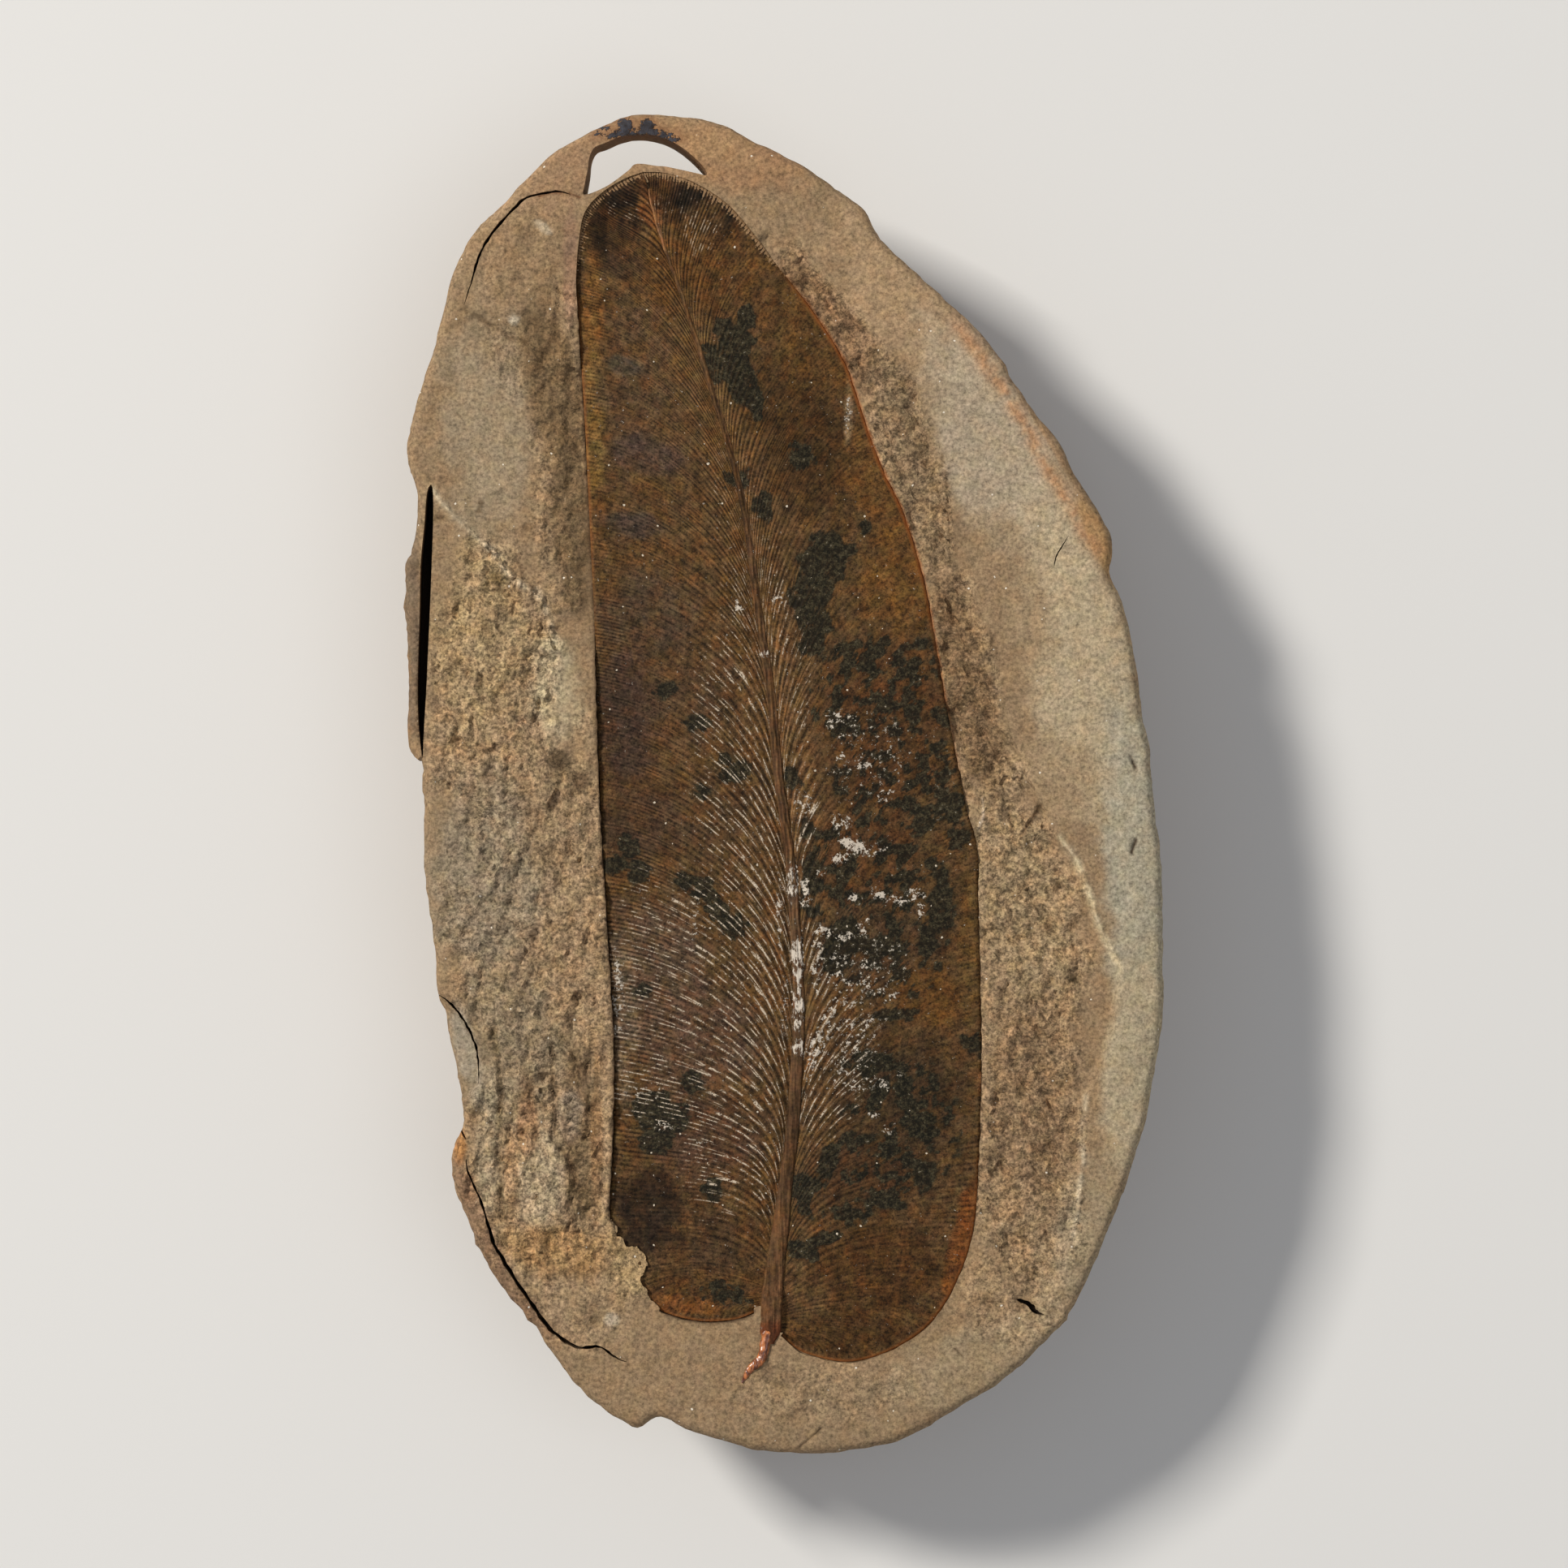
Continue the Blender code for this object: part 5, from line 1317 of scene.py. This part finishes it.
def make_midrib(finish):
    """The midrib as a low strand that widens to a rounded ridge and ends in a broken stub on the stone."""
    rows, columns = MIDRIB_GRID
    height = np.linspace(*MIDRIB_SPAN, rows)
    middle, upward, half = midrib_at(height)
    sideways = left_of(upward)
    half = np.maximum((half + 0.05) * (1 - 0.55 * ease(-height, 53.2, 54.4)), 0.03)[:, None]
    v = np.linspace(-1, 1, columns)
    x = middle[:, :1] - sideways[:, :1] * half * v
    y = middle[:, 1:] - sideways[:, 1:] * half * v
    rise = (LOWEST_STRAND + (MIDRIB_RISE - LOWEST_STRAND) * ease(30 - height, 0, 45))[:, None]
    rounded = np.sqrt(np.maximum(0, 1 - v ** 2))
    z = leaf_base_height(x, y, 0.0) + rise * rounded + 0.02
    onto_stone = ease(-height, 48.6, 50.4)[:, None]
    z = z + (np.maximum(face_height(x, y) + 0.30 * rounded - 0.02, z) - z) * onto_stone
    flat = points_at(x, y, z)
    fibres = fractal(flat * (1.0, 0.10, 1.0), 0.30, 3, 2.0)
    lumps = fractal(flat, 0.7, 3, 5.0)
    drift = fractal(flat * (0.0, 0.25, 0.0), 1.0, 3, 17.0).reshape(x.shape)
    bundle = (0.10 + 0.90 * ease(height, -32, -12))[:, None]
    bundle = bundle * np.cos(np.pi * (half * v / STRAND_PITCH + 1.3 * drift))
    z = z + 0.035 * bundle + (0.07 * fibres + 0.035 * lumps).reshape(z.shape) * (0.4 + half)
    z[:, [0, -1]] -= MIDRIB_SKIRT
    data = mesh_from("midrib", points_at(x, y, z), grid_faces(rows, columns)[:, ::-1])
    data.shade_smooth()
    x, y = x.ravel(), y.ravel()
    colour = tinted(x, y, MIDRIB_GROUND, MIDRIB_TINTS, 0.1 * lumps)
    colour = clouded(colour, points_at(x, y), 0.9, 0.5, 90.0)
    colour *= (1 + 0.35 * fibres + 0.28 * bundle.ravel())[:, None]
    store(data, "tint", np.clip(colour, 0, 1))
    store(data, "chalk", laid(x, y, CHALK))
    made = add_object("midrib", data, finish)
    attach(made, BODY)


def make_petiole(finish):
    """The broken stalk below the leaflet: a crumpled glossy thread that tapers away over the stone."""
    rows, columns = PETIOLE_GRID
    line = smooth_line(PETIOLE, np.linspace(0, len(PETIOLE) - 1, rows))
    side = left_of(unit(np.gradient(line, axis=0)))
    width = np.interp(np.linspace(0, 1, rows), *PETIOLE_WIDTHS)[:, None]
    turn = np.linspace(0, 2 * math.pi, columns, endpoint=False)
    x = line[:, :1] + side[:, :1] * width * np.cos(turn)
    y = line[:, 1:] + side[:, 1:] * width * np.cos(turn)
    z = face_height(line[:, 0], line[:, 1])[:, None] + 0.10 + 0.55 * width * np.sin(turn)
    lumps = 0.12 * fractal(points_at(x, y, z) * (1.0, 0.5, 1.0), 0.55, 3, 1.0).reshape(x.shape)
    x = x + lumps * side[:, :1] * np.cos(turn)
    y = y + lumps * side[:, 1:] * np.cos(turn)
    z = z + lumps * np.sin(turn)
    faces = [tuple(face) for face in grid_faces(rows, columns, closed=True)]
    faces += [tuple(range(columns))[::-1], tuple(range((rows - 1) * columns, rows * columns))]
    data = mesh_from("petiole", points_at(x, y, z), faces)
    turn_outward(data)
    data.shade_smooth()
    made = add_object("petiole", data, finish)
    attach(made, BODY)


class Finish:
    """A material's node tree, built by short calls that each return an output socket."""

    def __init__(self, name):
        self.material = bpy.data.materials.new(name)
        self.material.use_nodes = True
        self.tree = self.material.node_tree
        self.shader = self.tree.nodes["Principled BSDF"]

    def node(self, kind, **settings):
        made = self.tree.nodes.new(kind)
        for key, value in settings.items():
            setattr(made, key, value)
        return made

    def join(self, value, socket):
        if isinstance(value, bpy.types.NodeSocket):
            self.tree.links.new(value, socket)
        elif isinstance(value, (tuple, list, np.ndarray)):
            socket.default_value = [*map(float, value), 1.0][: len(socket.default_value)]
        else:
            socket.default_value = value

    def math(self, operation, *values):
        made = self.node("ShaderNodeMath", operation=operation)
        for k, value in enumerate(values):
            self.join(value, made.inputs[k])
        return made.outputs[0]

    def add(self, *values):
        total = values[0]
        for value in values[1:]:
            total = self.math("ADD", total, value)
        return total

    def times(self, first, second):
        return self.math("MULTIPLY", first, second)

    def swing(self, value, amount):
        """How far a noise is from its middle, times an amount."""
        return self.times(self.math("SUBTRACT", value, 0.5), amount)

    def ease(self, value, low, high):
        """0 at low, 1 at high, and a smooth step between them; low may be the larger."""
        made = self.node("ShaderNodeMapRange", interpolation_type="SMOOTHSTEP")
        for k, item in enumerate((value, low, high)):
            self.join(item, made.inputs[k])
        return made.outputs[0]

    def mix(self, share, first, second):
        made = self.node("ShaderNodeMix", data_type="RGBA")
        self.join(share, made.inputs[0])
        self.join(first, made.inputs[6])
        self.join(second, made.inputs[7])
        return made.outputs[2]

    def lay(self, base, share, strength, seen):
        """A colour as seen laid over another by a share times a strength."""
        return self.mix(self.times(share, strength), base, tone(*seen))

    def lit(self, colour, light):
        """A colour made lighter or darker by a factor."""
        made = self.node("ShaderNodeVectorMath", operation="SCALE")
        self.join(colour, made.inputs[0])
        self.join(light, made.inputs[3])
        return made.outputs[0]

    def value(self, name):
        return self.node("ShaderNodeAttribute", attribute_name=name).outputs["Fac"]

    def colour(self, name):
        return self.node("ShaderNodeAttribute", attribute_name=name).outputs["Color"]

    def place(self, stretch=(1, 1, 1)):
        made = self.node("ShaderNodeTexCoord")
        mapping = self.node("ShaderNodeMapping")
        self.tree.links.new(made.outputs["Object"], mapping.inputs["Vector"])
        mapping.inputs["Scale"].default_value = stretch
        return mapping.outputs["Vector"]

    def noise(self, size, detail, roughness, stretch=(1, 1, 1)):
        """Noise from 0 to 1 with features of a size in millimetres."""
        made = self.node("ShaderNodeTexNoise")
        made.inputs["Scale"].default_value = 1 / (size * MM)
        made.inputs["Detail"].default_value = detail
        made.inputs["Roughness"].default_value = roughness
        self.tree.links.new(self.place(stretch), made.inputs["Vector"])
        return made.outputs["Fac"]

    def glints(self, grain):
        """Painted glints: small bright highlights of crystals, of uneven outline, in a share of the cells of a
        random pattern.
        """
        spacing, size, share = GLINTS
        made = self.node("ShaderNodeTexVoronoi")
        made.inputs["Scale"].default_value = 1 / (spacing * MM)
        self.tree.links.new(self.place(), made.inputs["Vector"])
        drawn = made.outputs["Color"]
        chosen = self.math("LESS_THAN", drawn, share)
        radius = self.math("MULTIPLY_ADD", drawn, 0.7 * size / spacing / share, 0.3 * size / spacing)
        uneven = self.add(made.outputs["Distance"], self.swing(grain, 0.35))
        return self.times(chosen, self.math("LESS_THAN", uneven, radius))

    def bump(self, height, distance):
        made = self.node("ShaderNodeBump")
        made.inputs["Distance"].default_value = distance * MM
        self.join(height, made.inputs["Height"])
        return made.outputs[0]

    def finish(self, colour, roughness, normal=None, gloss=0.5):
        self.join(colour, self.shader.inputs["Base Color"])
        self.join(roughness, self.shader.inputs["Roughness"])
        self.join(gloss, self.shader.inputs["Specular IOR Level"])
        if normal:
            self.tree.links.new(normal, self.shader.inputs["Normal"])
        return self.material


def stone_finish():
    """Fine-grained ironstone: tinted zones, light and dark grains partly painted as the light and shade of
    fine relief, pits and crevices with painted shade, painted glints, crust, margin lines and painted shade in
    the cracks.
    """
    f = Finish("ironstone")
    broken = f.value("broken")
    grain = f.noise(0.34, 3.0, 0.68)
    coarse = f.noise(0.62, 4.0, 0.7)
    # Light and dark grain and lumps, stronger where the face is broken: partly the stone's own speckle, partly
    # painted light and shade of relief finer than the mesh.
    by_grain = f.swing(grain, f.math("MULTIPLY_ADD", broken, 1.7, 2.3))
    by_lump = f.swing(coarse, f.math("MULTIPLY_ADD", broken, 2.5, 0.4))
    base = f.lit(f.colour("tint"), f.math("MAXIMUM", f.add(by_grain, by_lump, 1.0), 0.42))
    lumps = f.noise(1.5, 5.0, 0.62)
    # Painted shade: darkens the narrow crevices between the lumps of broken stone.
    crevice_shade = f.times(f.ease(f.math("ABSOLUTE", f.swing(lumps, 1.0)), 0.045, 0.0), broken)
    base = f.lay(base, crevice_shade, 0.16, (78, 60, 40))
    # Painted shade: darkens small pits in the broken stone.
    pits = f.times(f.ease(f.noise(0.5, 3.0, 0.7), 0.44, 0.32), broken)
    base = f.lay(base, pits, 0.30, (84, 66, 46))
    # Pale flecks in the broken stone: paler grains, with painted highlights on them.
    pale = f.times(f.ease(grain, 0.64, 0.76), broken)
    base = f.lay(base, pale, 0.5, (206, 190, 160))
    glint = f.glints(grain)
    # Painted highlights: the glints of crystals.
    base = f.mix(glint, base, tone(232, 220, 200))
    # Dark film line at the leaflet's left margin, with painted shade of the step.
    base = f.lay(base, f.value("film_and_shade_line"), 0.85, (54, 34, 18))
    base = f.lay(base, f.value("rust_line"), 0.75, (170, 98, 46))
    # Painted shade inside the slot and the cracks.
    base = f.mix(f.value("crack_shade"), base, tone(52, 40, 30))
    crust = f.ease(f.add(f.value("crust"), f.swing(f.noise(0.40, 3.0, 0.7), 1.5)), -0.08, 0.10)
    base = f.lay(base, f.ease(f.value("crust"), -0.9, 0.0), 0.5, (140, 92, 58))
    base = f.mix(f.times(crust, 0.94), base, f.lit(tone(46, 50, 58), f.add(f.swing(coarse, 5.0), 1.0)))
    shine = f.math("SUBTRACT", 0.88, f.add(f.times(glint, 0.5), f.times(crust, 0.35)))
    relief = f.add(f.times(grain, 0.5), coarse)
    relief = f.add(f.times(relief, f.math("MULTIPLY_ADD", broken, 0.8, 0.35)), f.times(crust, 0.8))
    relief = f.math("SUBTRACT", relief, f.times(crevice_shade, 0.10))
    return f.finish(base, shine, f.bump(relief, 0.20), gloss=0.2)


def leaf_finish():
    """The leaflet's film: veins over a mottled brown ground, with dark, chalky and rusty minerals, and painted
    highlights on its crest dashes and glints.
    """
    f = Finish("leaf_film")
    grain = f.noise(0.42, 3.0, 0.66)
    fine = f.noise(0.16, 1.0, 0.6)
    gap = f.value("gap")
    crest = f.ease(f.add(gap, f.swing(grain, 0.5)), 0.90, 0.20)
    veins = f.times(f.math("MULTIPLY_ADD", crest, 0.86, -0.38), f.value("strand"))
    light = f.math("MAXIMUM", f.add(f.swing(grain, 3.3), f.swing(fine, 1.6), veins, 0.92), 0.30)
    base = f.lit(f.colour("tint"), light)
    flake = f.noise(0.48, 4.0, 0.75)
    dark = f.ease(f.add(f.value("dark"), f.swing(grain, 1.3)), 0.14, 0.66)
    mineral = f.mix(f.ease(f.add(flake, f.swing(fine, 0.3)), 0.42, 0.76), tone(17, 18, 12), tone(80, 73, 52))
    base = f.mix(f.times(dark, 0.90), base, mineral)
    base = f.mix(f.value("rust"), base, tone(170, 102, 52))
    teeth = f.ease(f.add(f.value("teeth"), f.swing(grain, 0.35), f.swing(fine, 0.9)), -0.10, 0.12)
    base = f.mix(f.times(teeth, 0.9), base, f.lit(tone(148, 117, 84), f.add(f.swing(fine, 1.2), 1.0)))
    # Pale dashes on the vein crests: pale mineral with painted highlights.
    bead = f.ease(f.add(f.value("bead"), f.swing(grain, 1.6)), 0.30, 0.84)
    bead = f.times(f.times(bead, f.ease(gap, 0.38, 0.10)), f.ease(fine, 0.34, 0.50))
    base = f.lay(base, bead, 0.95, (202, 184, 160))
    lace = f.ease(f.math("ABSOLUTE", f.swing(f.noise(1.1, 3.0, 0.6), 1.0)), 0.07, 0.0)
    chalk = f.times(f.value("chalk"), f.math("MULTIPLY_ADD", lace, 0.10, 0.17))
    chalk = f.ease(f.add(flake, chalk), 0.66, 0.72)
    base = f.lay(base, chalk, 0.94, (206, 193, 175))
    glint = f.glints(grain)
    # Painted highlights: the glints of crystals.
    base = f.mix(glint, base, tone(206, 192, 170))
    shine = f.math("SUBTRACT", 0.72, f.times(glint, 0.3))
    relief = f.add(f.times(grain, 0.8), f.times(fine, 0.25), f.times(f.math("MAXIMUM", chalk, bead), 0.5))
    return f.finish(base, shine, f.bump(relief, 0.07), gloss=0.12)


def midrib_finish():
    """The midrib: brown, finely striated, chalky where mineral has filled it."""
    f = Finish("midrib_film")
    strands = f.noise(0.30, 2.0, 0.6, (1, 0.06, 1))
    grain = f.noise(0.30, 3.0, 0.7)
    base = f.lit(f.colour("tint"), f.add(f.swing(strands, 1.8), f.swing(grain, 2.0), 1.0))
    flake = f.noise(0.40, 4.0, 0.75, (1, 0.4, 1))
    chalk = f.ease(f.add(flake, f.times(f.value("chalk"), 0.18)), 0.66, 0.73)
    base = f.lay(base, chalk, 0.95, (212, 199, 181))
    relief = f.add(strands, f.times(grain, 0.6), f.times(chalk, 0.5))
    return f.finish(base, 0.7, f.bump(relief, 0.07), gloss=0.15)


def petiole_finish():
    """The stalk's copper-coloured, resin-like film, mottled between a dark and a bright copper that carry
    painted shade and painted highlights.
    """
    f = Finish("petiole_film")
    grain = f.noise(0.32, 3.0, 0.6, (1, 0.35, 1))
    # Dark to bright copper: the stalk's own colour, with painted shade of its crumpled sides and painted
    # highlights.
    base = f.mix(f.ease(grain, 0.36, 0.66), tone(92, 44, 20), tone(202, 122, 66))
    return f.finish(base, 0.30, f.bump(grain, 0.02), gloss=0.8)


def make_floor():
    """A wide, plain, pale studio floor under the plate."""
    corners = [(x * FLOOR_HALF, y * FLOOR_HALF, 0) for x, y in ((-1, -1), (1, -1), (1, 1), (-1, 1))]
    data = bpy.data.meshes.new("floor")
    data.from_pydata(corners, [], [(0, 1, 2, 3)])
    floor = add_object("floor", data, Finish("studio_floor").finish(tone(226, 224, 220), 0.9))
    floor.location.z = -FLOOR_DROP
    floor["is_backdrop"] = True


def make_camera():
    """A camera straight above the plate, up the plate's +Y, that frames the photograph's width."""
    data = bpy.data.cameras.new("camera")
    data.lens = LENS
    data.sensor_width = SENSOR
    width = PHOTO_WIDTH * PIXEL * MM
    camera = bpy.data.objects.new("camera", data)
    camera.location = (0, 0, FRAMED_HEIGHT * MM + data.lens / data.sensor_width * width)
    bpy.context.scene.collection.objects.link(camera)
    bpy.context.scene.camera = camera


def make_light():
    """Soft light from the upper left, a weaker one from the front and an even surround."""
    for name, (place, size, power, colour) in LAMPS.items():
        data = bpy.data.lights.new(name, "AREA")
        data.shape = "SQUARE"
        data.size = size
        data.energy = power
        data.color = colour
        lamp = bpy.data.objects.new(name, data)
        lamp.location = place
        towards = Vector((0, 0, FACE_Z * MM)) - Vector(place)
        lamp.rotation_euler = towards.to_track_quat("-Z", "Y").to_euler()
        bpy.context.scene.collection.objects.link(lamp)
    world = bpy.data.worlds.new("surround")
    world.use_nodes = True
    world.node_tree.nodes["Background"].inputs["Color"].default_value = SURROUND
    world.node_tree.nodes["Background"].inputs["Strength"].default_value = SURROUND_STRENGTH
    bpy.context.scene.world = world
    bpy.context.scene.view_settings.view_transform = "Standard"


def main():
    make_camera()
    make_light()
    make_floor()
    make_stone(stone_finish())
    film = leaf_finish()
    make_leaf_half("leaf_left", LEFT_VEINS, -1, film)
    make_leaf_half("leaf_right", RIGHT_VEINS, 1, film)
    make_midrib(midrib_finish())
    make_petiole(petiole_finish())
    boxes = {"cad": cad_box, "visual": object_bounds()}
    boxes = {name: [list(map(float, corner)) for corner in box] for name, box in boxes.items()}


main()
